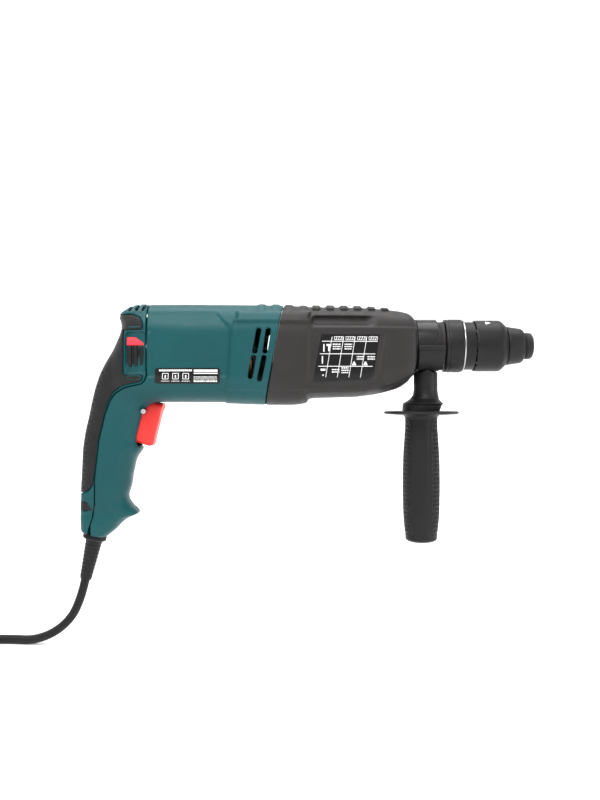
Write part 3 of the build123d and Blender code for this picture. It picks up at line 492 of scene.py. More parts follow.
COVER_LINE = [
    (COVER_X, 60), (COVER_X, -27), (-327.2, -30.5), (-330.5, -33.2), (-345.7, -36.2), (-354, -41),
    (-358.6, -47.5), (-362.9, -58), (-368.4, -80), (-372.1, -112), (-372.4, -134), (-374.5, -146),
    (-378.4, -158), (-383, -180), (-420, -180), (-420, 60),
]
PAD_LINE = [
    (-420, 24.2), (-338, 24.2), (-331.6, 21.6), (-329.0, 16), (-329.0, 11.5), (-345.6, 11.5),
    (-345.6, -25.8), (-329.0, -25.8), (-329.0, -29.0), (-331.5, -31.2), (-347, -34.2), (-355, -39.5),
    (-361.2, -49.5), (-367.2, -75), (-371.4, -105), (-373.4, -117), (-377.6, -122.6), (-384, -124.6),
    (-420, -124.6),
]
FRAME_CENTRE, FRAME_HALF = (-334.7, -7.75), (8.7, 17.25)  # recess of the reversing slider
DIAL_CENTRE = (-384.5, -136.0)
VENTS = [((-233.2, 10.6), (-236.4, -6.6)), ((-225.4, 10.6), (-228.0, -6.6)),
         ((-237.4, -11.6), (-240.2, -27.2)), ((-228.9, -11.6), (-232.6, -29.2))]
REAR_VENTS = [(-341.2 + 5.75 * i, -338.9 + 5.75 * i) for i in range(4)]


def roof_bands(x, z, spans, height, low):
    """Raised bands across the roof, between pairs of x, that fade out below a height."""
    total = 0
    for a, b in spans:
        total = total + height * inside(np.abs(x - (a + b) / 2) - (b - a) / 2, 1.6)
    return total * soft_step(z - low, 1.4)


def motor_detail(x, z):
    """How far the motor housing's surface stands out, or in if negative, over the side view."""
    recess = polygon(x, z, [(-345, 22.5), (-269.5, 22.5), (-259.6, 12.5), (-259.6, -25), (-345, -25)], 2.6)
    out = -1.5 * inside(recess, 4.5)
    block = polygon(x, z, [(-251.5, 60), (-251.5, 22.3), (-255.3, 11), (-259.5, -34), (-264, -60),
                           (-180, -60), (-180, 60)])
    side = soft_step(26.9 - z, 1.6)
    out += 1.5 * inside(block, 3.2) * side
    shoulder = polygon(x, z, [(-250.3, 26.4), (-251.0, 20.5), (-253.8, 17.8), (-180, 17.8), (-180, 26.4)])
    out += 1.7 * inside(shoulder, 1.3) + 0.9 * inside(shoulder, 7.0)
    out += 0.7 * inside(capsule(x, z, (-323.6, 7.6), (-323.6, -24), 1.7), 1.4)
    out -= 0.5 * inside(capsule(x, z, (-240.5, -30.6), (-240.5, -30.7), 1.9), 0.8)
    crease = soft_step(-(z + 38.2), 1.4) * inside(block, 6)
    out -= 0.7 * crease
    plaque = polygon(x, z, [(-369.2, -135.2), (-368.2, -139.6), (-351.2, -144.2), (-350.4, -139.8)])
    out -= 0.5 * inside(plaque, 0.8)
    return out


def gear_detail(x, z):
    """The same for the gear housing: shoulder, side channel, plate recess and lower step."""
    block = polygon(x, z, [(-260, 60), (-190.5, 60), (-193.5, -60), (-260, -60)])
    out = 1.5 * inside(block, 3.0) * soft_step(26.9 - z, 1.6)
    shoulder = polygon(x, z, [(-260, 26.4), (-191.0, 26.4), (-193.0, 20.5), (-190.0, 17.0), (-260, 17.8)])
    out += 1.7 * inside(shoulder, 1.3) + 0.9 * inside(shoulder, 7.0)
    channel = capsule(x, z, (-186.2, 18.9), (-60, 18.4), 3.6)
    out -= 3.2 * inside(channel, 1.6) * soft_step(-(x + 141), 10)
    out += 0.9 * inside(capsule(x, z, (-187, 12.4), (-60, 12.2), 1.2), 2.2)
    plate = polygon(x, z, [(-181.6, 8.4), (-133.4, 7.9), (-138.7, -25.8), (-142.2, -29.4),
                           (-189.4, -31.6)], 0.6)
    out -= 0.7 * inside(plate, 0.9)
    out -= 0.8 * inside(polygon(x, z, [(-129.2, 7.6), (-125.6, 7.6), (-132.6, -30), (-136.4, -30)]), 1.6)
    ledge = polygon(x, z, [(-194, -36.2), (-150, -35.2), (-128, -31.5), (-124, -34), (-146, -40.4),
                           (-194, -41.8)])
    out += 1.5 * inside(ledge, 3.0)
    under = polygon(x, z, [(-192.8, -44.2), (-150, -43.0), (-128, -37.4), (-105, -26), (-95, -70),
                           (-192.8, -70)])
    out -= 2.0 * inside(under, 2.4)
    out -= 0.7 * soft_step(-(z + 38.2), 1.4) * inside(block, 3)
    return out


WALL = 2.8
ROOF_RIBS = [(-234.5, -228.4), (-222.9, -216.7), (-211.6, -205.3), (-199.3, -193.6)]
ROOF_PADS = [(-189.2 + 11.56 * i, -182.6 + 11.52 * i) for i in range(6)]


def guard_room(x, y, z):
    """The slanted round hole in the foot that the cord guard sits in."""
    return np.maximum(np.hypot(x - FOOT.x - (z - FOOT.z) * tan(GUARD_LEAN), y) - 7.4, z + 150)


def make_motor_housing():
    g = Grid((-376, -42, -164), (-209, 42, 38), 0.75)
    x, y, z = g.x, g.y, g.z
    form = body_form(x, y, z)
    detail = motor_detail(x, z) + roof_bands(x, z, ROOF_RIBS[:2], 1.0, 26.8)
    field = smooth_max(form - detail, -(form + WALL + 1.5), 0.6)
    # joint faces, vents and trigger slot
    field = smooth_max(field, -seam_side(x, z) + 0.35, 0.8)
    field = smooth_max(field, -(polygon(x, z, COVER_LINE) - 0.35), 0.8)
    for a, b in VENTS:
        field = smooth_max(field, -np.maximum(capsule(x, z, a, b, 2.0), 22 - np.abs(y)), 0.6)
    slot = polygon(x, z, [(-352, -46), (-313, -46), (-313, -54), (-325, -60), (-325, -87.2), (-352, -84)])
    field = smooth_max(field, -np.maximum(slot, np.abs(y) - 10.5), 0.8)
    field = np.maximum(field, -guard_room(x, y, z))
    field_piece("motor_housing_shell", g, field, "housing", "teal_plastic",
                ("motor_housing",))


def make_handle_cover():
    g = Grid((-391, -38, -164), (-324, 38, 38), 0.7)
    x, y, z = g.x, g.y, g.z
    form = body_form(x, y, z)
    line = polygon(x, z, COVER_LINE)
    frame_shape = rectangle(x, z, FRAME_CENTRE, FRAME_HALF, 2.6)
    near_side = (y < 0).astype(np.float32)
    detail = -2.0 * inside(frame_shape, 0.8) * near_side
    detail = detail - 2.0 * inside(polygon(x, z, PAD_LINE, 0.3), 0.5)
    rims = 0
    for low, high in REAR_VENTS:
        rims = rims + 0.7 * inside(capsule(x, z, (low, 27.2), (high, 36), 2.3), 1.0)
    detail = detail + rims * soft_step(z - 25.6, 1.0)
    field = smooth_max(form - detail, -(form + WALL + 1.6), 0.6)
    field = smooth_max(field, line + 0.35, 0.8)
    for low, high in REAR_VENTS:
        slit = np.maximum(capsule(x, z, (low, 28.0), (high + 0.6, 38), 1.25), np.abs(y) - 30)
        field = smooth_max(field, -slit, 0.5)
    window = np.maximum(rectangle(x, z, DIAL_CENTRE, (5.6, 3.7), 0.8), y + 9.0)
    field = smooth_max(field, -window, 0.5)
    field = np.maximum(field, -guard_room(x, y, z))
    field_piece("handle_cover_shell", g, field, "housing", "teal_plastic",
                ("handle_cover",))


def make_grip_pad():
    """The soft pad, with rows of dots at the back of the hand and teal marks let into it."""
    g = Grid((-391, -38, -128), (-326, 38, 27), 0.55)
    x, y, z = g.x, g.y, g.z
    form = body_form(x, y, z)
    shape = polygon(x, z, PAD_LINE, 0.0)
    rear = curve(z, REAR, 1)
    row = np.floor(z / 3.7)
    across = (y + 1.85 * (row % 2) + 1.85) % 3.7 - 1.85
    dots = np.hypot(across, z - (row + 0.5) * 3.7) - 0.75
    dotted = inside(x - rear - 6.5, 1.0) * soft_step(-(z + 22), 2) * soft_step(z + 121, 2)
    detail = 0.25 - 0.9 * inside(dots, 0.5) * dotted
    field = smooth_max(form - detail, -(form + 1.7), 0.4)
    field = smooth_max(field, shape + 0.25, 0.7)
    field = smooth_max(field, polygon(x, z, COVER_LINE) + 0.8, 0.7)
    field_piece("grip_pad", g, field, "housing", "grip_rubber", ("handle_grip_pad",))
    marks = np.minimum(capsule(x, z, (-340.6, 13.6), (-331.0, 13.6), 0.55),
                       np.abs(rectangle(x, z, (-335.8, -28.0), (5.6, 1.4), 1.2)) - 0.35)
    field = np.maximum(np.maximum(form - 0.5, -(form + 0.6)), np.maximum(marks, y))
    field_piece("pad_marks", g, field, "housing", "teal_plastic")


def make_gear_housing():
    g = Grid((-232, -42, -54), (-99, 42, 38), 0.7)
    x, y, z = g.x, g.y, g.z
    form = body_form(x, y, z)
    detail = gear_detail(x, z) + roof_bands(x, z, ROOF_RIBS[2:], 1.0, 26.8)
    detail = detail + roof_bands(x, z, ROOF_PADS, 1.7, 29.0)
    field = smooth_max(form - detail, -(form + WALL + 2.6), 0.6)
    field = smooth_max(field, seam_side(x, z) + 0.35, 0.8)
    field = smooth_max(field, -(np.maximum(np.hypot(y, z) - 23.0, -108 - x)), 0.6)
    stem = np.maximum(np.hypot(x + 160, z + 8) - 8.3, 20 - y)
    field = smooth_max(field, -stem, 0.6)
    field_piece("gear_housing_shell", g, field, "housing", "dark_case",
                ("gear_housing",))


def surface_y(x, z, stand_out=0.0):
    """The near side's y at points of the side view, found by halving."""
    x, z = np.asarray(x, np.float32), np.asarray(z, np.float32)
    detail = np.where(seam_side(x, z) > 0, motor_detail(x, z), gear_detail(x, z))
    low, high = np.full(x.shape, -45.0), np.full(x.shape, -8.0)
    for _ in range(24):
        middle = (low + high) / 2
        within = body_form(x, middle.astype(np.float32), z) - detail < stand_out
        high, low = np.where(within, middle, high), np.where(within, low, middle)
    return (low + high) / 2


class Prints:
    """Thin printed shapes that lie on the near side, gathered into one mesh."""

    def __init__(self, stand_out, thickness=0.16):
        self.verts, self.faces = [], []
        self.stand_out, self.thickness = stand_out, thickness

    def fill(self, outline):
        """A four-cornered patch, corners in order round it, divided to follow the surface."""
        a, b, c, d = [Vector(p) for p in outline]
        wide = max(1, int(max((b - a).length, (c - d).length) / 3))
        tall = max(1, int(max((d - a).length, (c - b).length) / 3))
        points = [(a.lerp(b, i / wide)).lerp(d.lerp(c, i / wide), j / tall)
                  for j in range(tall + 1) for i in range(wide + 1)]
        xs, zs = np.array([p[0] for p in points]), np.array([p[1] for p in points])
        ys = surface_y(xs, zs, self.stand_out)
        start, layer = len(self.verts), len(points)
        for lift in (self.thickness, 0.0):
            self.verts += [(px * MM, (py - lift) * MM, pz * MM) for px, py, pz in zip(xs, ys, zs)]
        across = wide + 1
        for j in range(tall):
            for i in range(wide):
                k = start + j * across + i
                quad = (k, k + 1, k + 1 + across, k + across)
                self.faces.append(quad)
                self.faces.append(tuple(v + layer for v in reversed(quad)))
        edge = [i for i in range(wide)] + [wide + across * j for j in range(tall)]
        edge += [across * tall + i for i in range(wide, 0, -1)] + [across * j for j in range(tall, 0, -1)]
        for i, j in zip(edge, edge[1:] + edge[:1]):
            self.faces.append((start + j, start + i, start + i + layer, start + j + layer))

    def line(self, a, b, width):
        """A stroke from a to b."""
        a, b = Vector(a), Vector(b)
        side = Vector((b.y - a.y, a.x - b.x)).normalized() * (width / 2)
        self.fill((a - side, b - side, b + side, a + side))

    def bar(self, x, z, w, h):
        """An upright bar, given its lower left corner."""
        self.fill(((x, z), (x + w, z), (x + w, z + h), (x, z + h)))

    def box(self, x, z, w, h, stroke=0.28):
        """The outline of a small upright box."""
        for a, b in (((x, z), (x + w, z)), ((x + w, z), (x + w, z + h)), ((x + w, z + h), (x, z + h)),
                     ((x, z + h), (x, z))):
            self.line(a, b, stroke)

    def words(self, x, z, length, height, seed):
        """A row of short dashes in place of a line of small type."""
        draw = np.random.default_rng(seed)
        end = x + length
        while x < end - 0.5:
            w = min(0.5 + 1.3 * draw.random(), end - x)
            self.bar(x, z, w, height)
            x += w + 0.35

    def finish(self, name, replaced=(), material=None):
        mesh = bpy.data.meshes.new(name)
        mesh.from_pydata(self.verts, [], self.faces)
        place_piece(name, mesh, "housing", "label_film", replaced, material)


def make_rating_label():
    """Black film with a heading, three small pictograms, two data bars and lines of tiny type."""
    film = Prints(0.08, 0.2)
    left, right, low, high = -318.6, -265.0, -33.0, -20.2
    for x, w, inset in ((left, 1.2, 0.9), (left + 1.2, right - left - 2.4, 0), (right - 1.2, 1.2, 0.9)):
        film.bar(x, low + inset, w, high - low - 2 * inset)
    film.finish("rating_label_film", ("rating_label",))
    ink = Prints(0.28, 0.08)
    ink.words(-315, -22.9, 27, 1.5, 3)
    for i in range(3):
        x = -312.2 + 8.4 * i
        ink.box(x, -29.2, 4.8, 4.6, 0.45)
        ink.bar(x + 1.9, -28.2, 1.0, 2.4)
        ink.words(x - 0.9, -31.2, 6.6, 0.5, 11 + i)
    for row in range(2):
        ink.bar(-286.4, -23.2 - 2.6 * row, 19.4, 1.7)
    for row in range(3):
        ink.words(-286.4, -27.6 - 1.0 * row, 19.0, 0.42, 21 + row)
    ink.words(-286.4, -31.6, 19.0, 1.2, 31)
    ink.finish("rating_label_print", material=LABEL_INK)


def make_data_plate():
    """Recessed black film with a generic table of rows, slanted columns and small signs."""
    film = Prints(0.08, 0.2)
    film.fill(((-189.0, -31.4), (-142.4, -29.2), (-139.4, -26.4), (-182.0, 7.2)))
    film.fill(((-139.2, -26.0), (-133.9, 7.2), (-182.0, 7.2), (-182.0, 7.1)))
    film.finish("data_plate_film", ("data_plate",))
    ink = Prints(0.28, 0.08)
    for z, a, b in ((1.7, -181.4, -135.6), (-8.6, -183.2, -137.8), (-18.8, -184.5, -139.9)):
        ink.line((a, z), (b, z), 0.5)
    for i in range(4):
        top = -173.2 + 9.5 * i
        ink.line((top, 5.5), (top - 5.3, -27.8), 0.4)
    for i in range(4):
        x = -171.4 + 9.5 * i
        ink.box(x, 2.9, 7.0, 2.6, 0.35)
        for dash in range(3):
            ink.line((x + 1.3 + 1.9 * dash, 3.1), (x + 2.3 + 1.9 * dash, 5.3), 0.45)
    # row signs: a bolt and a hammer, a bolt, a hammer
    for x, z in ((-180.4, -6.8), (-181.6, -16.6)):
        ink.bar(x, z, 0.9, 6.2)
    for x, z in ((-177.6, -6.4), (-182.4, -26.6)):
        ink.bar(x + 1.2, z, 1.1, 5.6)
        ink.bar(x - 0.2, z + 4.2, 3.9, 1.6)
    for cell, (x, z) in enumerate(((-172.6, -1.2), (-163.0, -1.2), (-165.6, -20.6), (-173.4, -22.0),
                                   (-153.0, -11.4), (-144.2, -11.4))):
        for row in range(2 if cell > 2 else 3):
            ink.words(x, z - 1.9 * row, 6.2, 0.9, 41 + 3 * cell + row)
    for x in (-157.0, -147.6):
        ink.fill(((x, -18.0), (x + 3.6, -18.0), (x + 2.2, -14.9), (x + 1.4, -14.9)))
    ink.finish("data_plate_print", material=LABEL_INK)


# ---- trigger, slider, dial and mode knob -----------------------------------------------
def make_trigger():
    g = Grid((-349, -11, -88), (-306, 11, -45), 0.45)
    shape = polygon(g.x, g.z, [
        (-334.2, -54.5), (-331.5, -50.0), (-326.0, -48.4), (-317, -49.6), (-309.8, -51.3), (-312.8, -52.3),
        (-316.9, -55.0), (-319.2, -60.2), (-321.2, -68), (-323.2, -76), (-324.6, -82.6), (-325.6, -84.8),
        (-328.2, -85.2), (-337.8, -82.4), (-345.5, -80.0), (-344, -66), (-338.5, -56)], 0.5)
    field = smooth_max(shape, np.abs(g.y) - 9.8, 5.0)
    # a shallow finger hollow down the front face
    field = smooth_max(field, -(np.hypot(g.x + 283.5, (g.z + 68) * 0.78) - 35.9 + 0.012 * g.y**2), 1.2)
    field = np.maximum(field, -(np.hypot(g.x + 331, g.z + 56) - 2.05))
    field_piece("trigger_shell", g, field, "trigger", "red_plastic", ("trigger",), 0)


def make_slider():
    """Red mark above a black thumb piece with three upright ribs."""
    g = Grid((-344, -37, -22), (-325, -29, 8), 0.3)
    floor_y = -31.35
    crown = floor_y - 2.6 + 0.012 * (g.z + 7) ** 2
    red = smooth_max(rectangle(g.x, g.z, (-334.9, 2.0), (7.2, 3.5), 1.0), crown - g.y, 0.8)
    red = smooth_max(red, g.y - floor_y, 0.3)
    field_piece("slider_mark_shell", g, red, "reverser", "red_plastic", ("slider_mark",), 0,
                SLIDER_RED)
    base = smooth_max(rectangle(g.x, g.z, (-334.9, -10.3), (7.2, 8.6), 0.8), crown + 1.2 - g.y, 0.6)
    for i in range(3):
        rib = rectangle(g.x, g.z, (-339.6 + 4.9 * i, -10.3), (1.5, 8.4), 0.9)
        base = smooth_min(base, smooth_max(rib, crown - 0.5 - g.y, 1.0), 0.7)
    base = smooth_max(base, g.y - floor_y, 0.3)
    field_piece("slider_thumb", g, base, "reverser", "black_plastic",
                ("reversing_slider",), 0)


def make_dial_numbers():
    """Plain numbers round the rim of the speed dial."""
    low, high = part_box("speed_dial")
    centre = (Vector(low) + Vector(high)) / 2
    radius = (high[0] - low[0]) / 2 - 0.00045
    for i in range(6):
        text = bpy.data.curves.new("dial_number", "FONT")
        text.body = str(i + 1)
        text.size, text.extrude, text.align_x, text.align_y = 0.0058, 0.00012, "CENTER", "CENTER"
        made = add_object("dial_number_source", text)
        bpy.context.view_layer.update()
        mesh = bpy.data.meshes.new_from_object(made)
        bpy.data.objects.remove(made)
        turn = radians(58 * i - 28)
        upright = Matrix.Rotation(pi / 2, 4, "X")
        out = Matrix.Translation(centre) @ Matrix.Rotation(turn, 4, "Z")
        mesh.transform(out @ Matrix.Translation((0, -radius, 0)) @ upright)
        place_piece(f"dial_number_{i + 1}", mesh, "dial", "label_film", (), LABEL_INK)


def make_mode_knob():
    """Round knob with a finger grip across it, a pointer line and a knurled edge."""
    g = Grid((-182, 25, -30), (-138, 49.5, 14), 0.5)
    u, v = g.x + 160, g.z + 8
    around = np.arctan2(v, u)
    radius = np.hypot(u, v)
    disc = smooth_max(radius - 19.9 + 0.35 * (np.cos(around * 44) > 0.3), np.abs(g.y - 40.45) - 2.15, 1.0)
    grip = smooth_max(rectangle(u, v, (0, 0), (5.6, 18.6), 5.4), g.y - 48.5, 2.2)
    grip = np.maximum(grip, 40 - g.y)
    waist = np.hypot(np.abs(u) - 20.0, v) - 15.6
    grip = smooth_max(grip, -waist, 1.5)
    stem = np.maximum(radius - 7.9, np.abs(g.y - 33) - 7)
    field = np.minimum(smooth_min(disc, grip, 1.6), stem)
    field = smooth_max(field, -np.maximum(np.hypot(u, v - 11) - 3.6, 44.0 - g.y), 0.4)
    field = smooth_max(field, -np.maximum(rectangle(u, v, (0, -12.4), (0.7, 4.2), 0.6), 47.9 - g.y), 0.4)
    field_piece("mode_knob_shell", g, field, "mode_knob", "black_plastic",
                ("mode_knob",), 0)


# ---- chuck and nose --------------------------------------------------------------------
def make_chuck():
    turned_piece("chuck_body_ring", [
        (-76.2, 13.0), (-76.2, 18.0), (-61.4, 18.0), (-61.4, 21.9), (-60.2, 21.9), (-59.8, 20.5),
        (-51.2, 20.5), (-51.2, 18.0), (-60, 18.0), (-60, 13.0)],
        "spindle", "chuck_steel", ("chuck_body",), 0.3)
    turned_piece("chuck_bright_ring", [(-61.3, 21.7), (-61.3, 22.3), (-60.3, 22.3), (-60.3, 21.7)],
                 "spindle", "chuck_steel", (), 0.2, BRIGHT_RING)
    turned_piece("change_sleeve_shell", [
        (-76.4, 18.06), (-76.4, 22.5), (-74.6, 22.8), (-74.2, 22.5), (-73.6, 22.5), (-73.2, 22.8),
        (-62.6, 22.8), (-61.6, 22.2), (-61.6, 18.06)],
        "change_sleeve", "chuck_steel", ("chuck_change_sleeve",), 0.35)
    turned_piece("release_sleeve_shell", [
        (-50.7, 20.85), (-50.7, 21.7), (-49.6, 21.95), (-31.0, 21.95), (-28.4, 21.5), (-23.6, 17.2),
        (-23.4, 12.67), (-34, 10.55), (-34, 18.6), (-36, 20.85)], "release_sleeve", "chuck_steel",
        ("release_sleeve",), 0.9)
    turned_piece("nose_light_ring", [(-24.9, 16.6), (-24.9, 17.25), (-24.2, 17.1), (-24.2, 16.6)],
                 "release_sleeve", "chuck_steel", (), 0.15, BRIGHT_RING)
    turned_piece("nose_cone_shell", [
        (-23, 10.2), (-23, 16.2), (-22, 16.5), (-10.6, 14.8), (-9.4, 14.0), (-7.4, 11.4), (-7, 10.2)],
        "spindle", "black_plastic", ("nose_cone",), 0.9)
    turned_piece("dust_cap_shell", [
        (-7, 9.0), (-7, 11.3), (-5.4, 11.5), (-1.6, 11.0), (-0.1, 8.6), (-0.1, 6.4), (-1.2, SOCKET_R),
        (-1.5, 9.0)], "spindle", "grip_rubber", ("dust_cap",), 0.9)
    turned_piece("clamp_band_strap", [
        (-100.6, 21.56), (-100.6, 22.6), (-99.9, 22.8), (-84.1, 22.8), (-83.4, 22.6), (-83.4, 21.56)],
        "side_handle", "chuck_steel", ("clamp_band",), 0.25, GLOSS_BAND)
    turned_piece("nose_collar", [
        (-118, 20.0), (-118, 23.4), (-106.5, 23.4), (-106.5, 22.7), (-104.6, 22.9), (-101.6, 22.9),
        (-100.9, 22.4), (-100.9, 21.5), (-83.2, 21.5), (-83.2, 20.6), (-82.2, 20.9), (-81.4, 20.0),
        (-80.6, 20.9), (-79.6, 20.0), (-78.6, 20.9), (-77.2, 20.6), (-77.2, 15.0), (-108, 15.0),
        (-108, 20.0)], "housing", "dark_case", ("nose_housing",), 0.35)
    make_sleeve_mark("change_mark", "change_sleeve", -71.6, radians(128), 22.78, MATERIALS["black_plastic"])
    make_sleeve_mark("release_mark", "release_sleeve", -42.5, radians(32), 21.93, LABEL_INK)


def make_sleeve_mark(name, body, low_x, angle, radius, material):
    """A small raised triangle on a sleeve, its angle counted from the top towards the near side."""
    corners = [(0, -2.3), (0, 2.3), (4.4, 0)]
    rings = []
    for lift in (-0.3, 0.28):
        ring = []
        for dx, arc in corners:
            a = angle + arc / radius
            r = radius + lift
            ring.append(((low_x + dx) * MM, -r * sin(a) * MM, r * cos(a) * MM))
        rings.append(ring)
    place_piece(name, ring_mesh(name, rings), body, "chuck_steel", (), material)


# ---- side handle -----------------------------------------------------------------------
def make_side_handle():
    g = Grid((-116, -28, -57), (-74, 28, 0), 0.5)
    x, y, z = g.x, g.y, g.z
    reach = np.hypot(y, z)
    along = np.abs(x + 89.45) - 11.1
    saddle = smooth_max(smooth_max(reach - 26.2, along, 1.2), z + 1.3, 0.8)
    lip = smooth_max(smooth_max(reach - 27.4, along - 0.3, 0.8), np.abs(z + 3.1) - 1.9, 0.8)
    form = smooth_min(saddle, lip, 0.6)
    form = smooth_max(form, -z - 21.4, 1.5)
    centre = np.where(z > -42, -91.55, -91.55 - (-42 - z) * 0.3)
    flare = np.interp(z[0, 0], [-57, -50.2, -49.6, -48.2, -45.5, -42, -38, 0],
                      [16.0, 16.6, 17.8, 15.6, 12.4, 10.8, 10.2, 10.2]).astype(np.float32)[None, None, :]
    neck = smooth_max(np.hypot(x - centre, y * 0.96) - flare, z + 18, 1.0)
    collar = smooth_max(np.hypot(x + 95.3, y) - 16.1, np.abs(z + 53) - 2.5, 0.8)
    groove = np.abs(np.hypot(x - centre, z + 32.0 + (y + 6) * 0.001) - 11.4) - 0.5
    form = smooth_min(form, neck, 1.2)
    form = smooth_max(form, -np.maximum(groove, np.maximum(-22.6 - z, y + 6)), 0.5)
    form = np.minimum(form, collar)
    form = smooth_max(form, -(reach - 22.85), 0.4)
    form = np.maximum(form, -(np.hypot(x - GRIP_X, y) - 4.3))
    field_piece("side_handle_saddle", g, form, "side_handle", "black_plastic",
                ("side_handle_base",), 0.002)


# grip sections: z, radius
GRIP_PROFILE = [
    (-170, 8.0), (-168, 10.4), (-166.6, 12.6), (-163, 13.6), (-158.6, 14.1), (-150, 15.0), (-130, 15.75),
    (-110, 15.8), (-92, 15.3), (-78, 14.4), (-68, 13.8), (-62.5, 13.9), (-58, 14.4), (-50, 14.6),
]


def make_side_grip():
    """Rubber grip with two smooth fields, and staggered dimples between them."""
    g = Grid((GRIP_X - 17, -17, -169), (GRIP_X + 17, 17, -57), 0.4)
    u, y, z = g.x - GRIP_X, g.y, g.z
    radius = np.hypot(u, y)
    base = curve(z, GRIP_PROFILE, 1)
    form = radius - base
    # smooth fields on both sides, with rounded ends
    wide = 7.4 + 2.6 * soft_step(np.abs(z + 112) - 46, 14)
    field_shape = np.maximum(np.abs(u + 1.2) - wide, np.abs(z + 112.5) - 50.5)
    sunk = inside(field_shape, 0.9)
    arc = np.arctan2(np.abs(y), np.abs(u)) * base
    row = np.floor(z / 3.7)
    cell = (arc + 1.85 * (row % 2)) % 3.7 - 1.85
    dots = np.hypot(cell, z - (row + 0.5) * 3.7) - 0.8
    dotted = (1 - inside(field_shape - 1.6, 0.5)) * inside(np.abs(z + 112) - 48.5, 1.0)
    form = form + 0.45 * sunk + 1.0 * inside(dots, 0.5) * dotted
    form = smooth_max(form, -168.2 - z, 2.0)
    form = np.maximum(form, z + 57.5)
    # parting groove above the end cap, and the bore for the bolt
    form = smooth_max(form, -(np.hypot(radius - base - 0.1, z + 160.3) - 0.55), 0.3)
    form = np.maximum(form, -np.maximum(radius - 4.06, -84.5 - z))
    field_piece("side_grip_rubber", g, form, "side_grip", "black_plastic", ("side_grip",), 0.001,
                HANDLE_RUBBER)
    profile = soften([(4.06, -55.8), (30.5, -55.9), (32.2, -56.6), (32.2, -57.8), (30.0, -58.7),
                      (15.5, -59.4), (14.4, -61.0), (4.06, -61.0)], 0.9)
    rings = [[((GRIP_X + p[0] * cos(a)) * MM, p[0] * sin(a) * MM, p[1] * MM)
              for a in round_angles(128)] for p in profile]
    mesh = ring_mesh("grip_flange", rings + rings[:1], closed_ends=False)
    mesh.shade_smooth()
    mesh.set_sharp_from_angle(angle=radians(50))
    place_piece("grip_flange", mesh, "side_grip", "black_plastic")


# ---- cord ------------------------------------------------------------------------------
GUARD_LENGTH = 39.7


def along_guard(distance):
    return FOOT + LEAN * distance


# the same points as the CAD route, then the coil's turns
ROUTE = [
    tuple(along_guard(GUARD_LENGTH)),
    (-389.1, 0.0, -223.4),
    (-403.9, 0.6, -242.6),
    (-425.8, 1.6, CORD_Z),
    (-449.0, 5.0, CORD_Z),
    (-472.0, 5.0, CORD_Z),
]
COIL_X, COIL_Y = -504.5, -47.5
COIL_OUT_R, COIL_IN_R = 52.5, 30.0
TURN_POINTS = 24
PLUG_HEADING = radians(250)  # the way the plug points, seen from above
PLUG_START = Vector((COIL_X - 24.4, COIL_Y + 14.1, FLOOR_Z + 26.2))
PLUG_AHEAD = Vector((cos(PLUG_HEADING), sin(PLUG_HEADING), 0))
# the cord's last stretch climbs off the top turn and bends in towards the plug
TAIL = [
    (COIL_X + 44.6, COIL_Y + 25.8, -246.0),
    (COIL_X + 33.2, COIL_Y + 40.4, -244.0),
    (COIL_X + 15.9, COIL_Y + 47.7, -240.5),
    (COIL_X - 3.2, COIL_Y + 44.4, -236.0),
    (COIL_X - 17.9, COIL_Y + 32.0, -231.8),
    tuple(PLUG_START),
    tuple(PLUG_START + 5 * PLUG_AHEAD),
]


def coil_points():
    """Three turns inwards on the floor, one that climbs, and nearly three outwards on top."""
    points = []
    for i in range(163):
        turn = i / TURN_POINTS
        shrink = min(turn, 3, 7 - turn) / 3
        r = COIL_OUT_R - (COIL_OUT_R - COIL_IN_R) * shrink
        climb = min(max(turn - 3, 0), 1)
        z = CORD_Z + 2 * CORD_R * sin(acos(1 - climb))
        angle = pi / 2 + 2 * pi * turn
        points.append((COIL_X + r * cos(angle), COIL_Y + r * sin(angle), z))
    return points


def make_cord():
    curve_data = bpy.data.curves.new("cord", "CURVE")
    curve_data.dimensions = "3D"
    curve_data.bevel_depth = CORD_R * MM
    curve_data.bevel_resolution = 5
    curve_data.resolution_u = 6
    curve_data.use_fill_caps = True
    points = ROUTE + coil_points() + TAIL
    spline = curve_data.splines.new("NURBS")
    spline.points.add(len(points) - 1)
    for point, place in zip(spline.points, points):
        point.co = (*(c * MM for c in place), 1)
    spline.order_u = 3
    spline.use_endpoint_u = True
    cord = add_object("mains_cord", curve_data)
    curve_data.materials.append(MATERIALS["cord_rubber"])
    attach(cord, "housing")
    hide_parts("power_cord", "cord_coil")
    return cord


def make_guard():
    """Collar and tapered sleeve of the cord guard, with fine rings near its end."""
    profile = [(-9, 6.9), (0.0, 6.9), (0.0, 9.4), (0.8, 10.0), (3.9, 10.0), (4.7, 9.2), (4.9, 7.5)]
    for i in range(9):
        d = 7.5 + 3.3 * i
        r = 7.4 - (7.4 - 5.0) * (d / GUARD_LENGTH)
        profile += [(d, r), (d + 0.5, r - 0.3), (d + 1.3, r - 0.3), (d + 1.8, r - 0.05)]
    profile += [(38.9, 4.9), (GUARD_LENGTH, 4.5), (GUARD_LENGTH, 3.76)]
    turn = LEAN.to_track_quat("Z", "Y").to_matrix()
    rings = [[tuple((FOOT + turn @ Vector((r * cos(a), r * sin(a), d))) * MM)
              for a in round_angles(64)] for d, r in profile]
    mesh = ring_mesh("cord_guard_sleeve", rings)
    mesh.shade_smooth()
    mesh.set_sharp_from_angle(angle=radians(40))
    place_piece("cord_guard_sleeve", mesh, "housing", "cord_rubber",
                       ("cord_guard",))


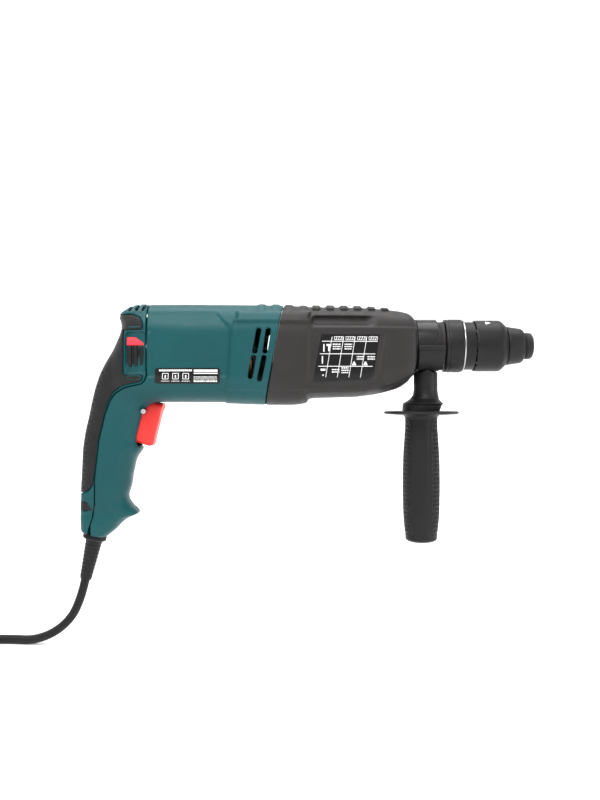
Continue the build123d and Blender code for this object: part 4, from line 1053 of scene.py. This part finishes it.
def make_plug():
    """Ribbed strain relief that swells into a flat round-edged plug."""
    profile = []
    for i in range(6):
        x = 3.4 * i
        r = 4.9 + 0.45 * i
        for step, rise in ((0, 0), (2.0, 0.3), (2.3, -0.6), (3.2, -0.6)):
            profile.append((x + step, r + rise, r + rise))
    profile += [(22, 8.6, 8.0), (25, 11.5, 9.6), (30, 14.2, 10.4), (36, 16.6, 11.0), (41, 17.3, 11.1),
                (46.6, 17.3, 11.1), (47.6, 16.9, 10.7), (48, 16.2, 10.0)]
    across = Vector((-PLUG_AHEAD.y, PLUG_AHEAD.x, 0))
    rings = []
    for d, wide, tall in profile:
        power = 0.72 if d > 24 else 1.0
        ring = []
        for a in round_angles(72):
            cy = np.sign(cos(a)) * abs(cos(a)) ** power
            cz = np.sign(sin(a)) * abs(sin(a)) ** power
            middle = PLUG_START + d * PLUG_AHEAD
            ring.append(tuple((middle + across * float(wide * cy) + Vector((0, 0, tall * cz))) * MM))
        rings.append(ring)
    mesh = ring_mesh("plug_shell", rings)
    mesh.shade_smooth()
    mesh.set_sharp_from_angle(angle=radians(40))
    return place_piece("plug_shell", mesh, "housing", "cord_rubber", ("plug_body",))


def make_tie():
    """A strap round the bundle, with a rounded buckle on top."""
    middle_x = COIL_X + (COIL_OUT_R + COIL_IN_R) / 2
    top = FLOOR_Z + 4 * CORD_R
    g = Grid((middle_x - 19, COIL_Y - 8, FLOOR_Z - 1), (middle_x + 19, COIL_Y + 8, top + 3), 0.4)
    loop = rectangle(g.x, g.z, (middle_x, FLOOR_Z + 2 * CORD_R + 0.65), (15.9, 7.7), 4.0)
    strap = smooth_max(np.abs(loop) - 0.45, np.abs(g.y - COIL_Y) - 5.6, 0.5)
    strap = strap + 0.15 * (np.cos(g.y * 4.2) > 0.2)
    buckle = rectangle(g.x, g.z, (middle_x, top + 0.9), (5.5, 1.0), 0.8)
    buckle = smooth_max(buckle, np.abs(g.y - COIL_Y) - 6.4, 0.8)
    field_piece("cord_strap", g, smooth_min(strap, buckle, 0.6), "housing",
                "cord_rubber", ("cord_tie",), 0)


def finish_cad_nodes():
    """The CAD solids that stay get the procedural material of their slot."""
    slots = {entry["node"]: entry["material_slot"] for entry in frame["record"]["subparts"]}
    for name, node in frame["nodes"].items():
        node.data.materials.clear()
        node.data.materials.append(MATERIALS[slots[name]])


make_camera()
make_stage()
cord = make_cord()
make_guard()
plug = make_plug()
make_tie()
finish_cad_nodes()
make_motor_housing()
make_handle_cover()
make_grip_pad()
make_gear_housing()
make_rating_label()
make_data_plate()
make_trigger()
make_slider()
make_dial_numbers()
make_mode_knob()
make_chuck()
make_side_handle()
make_side_grip()
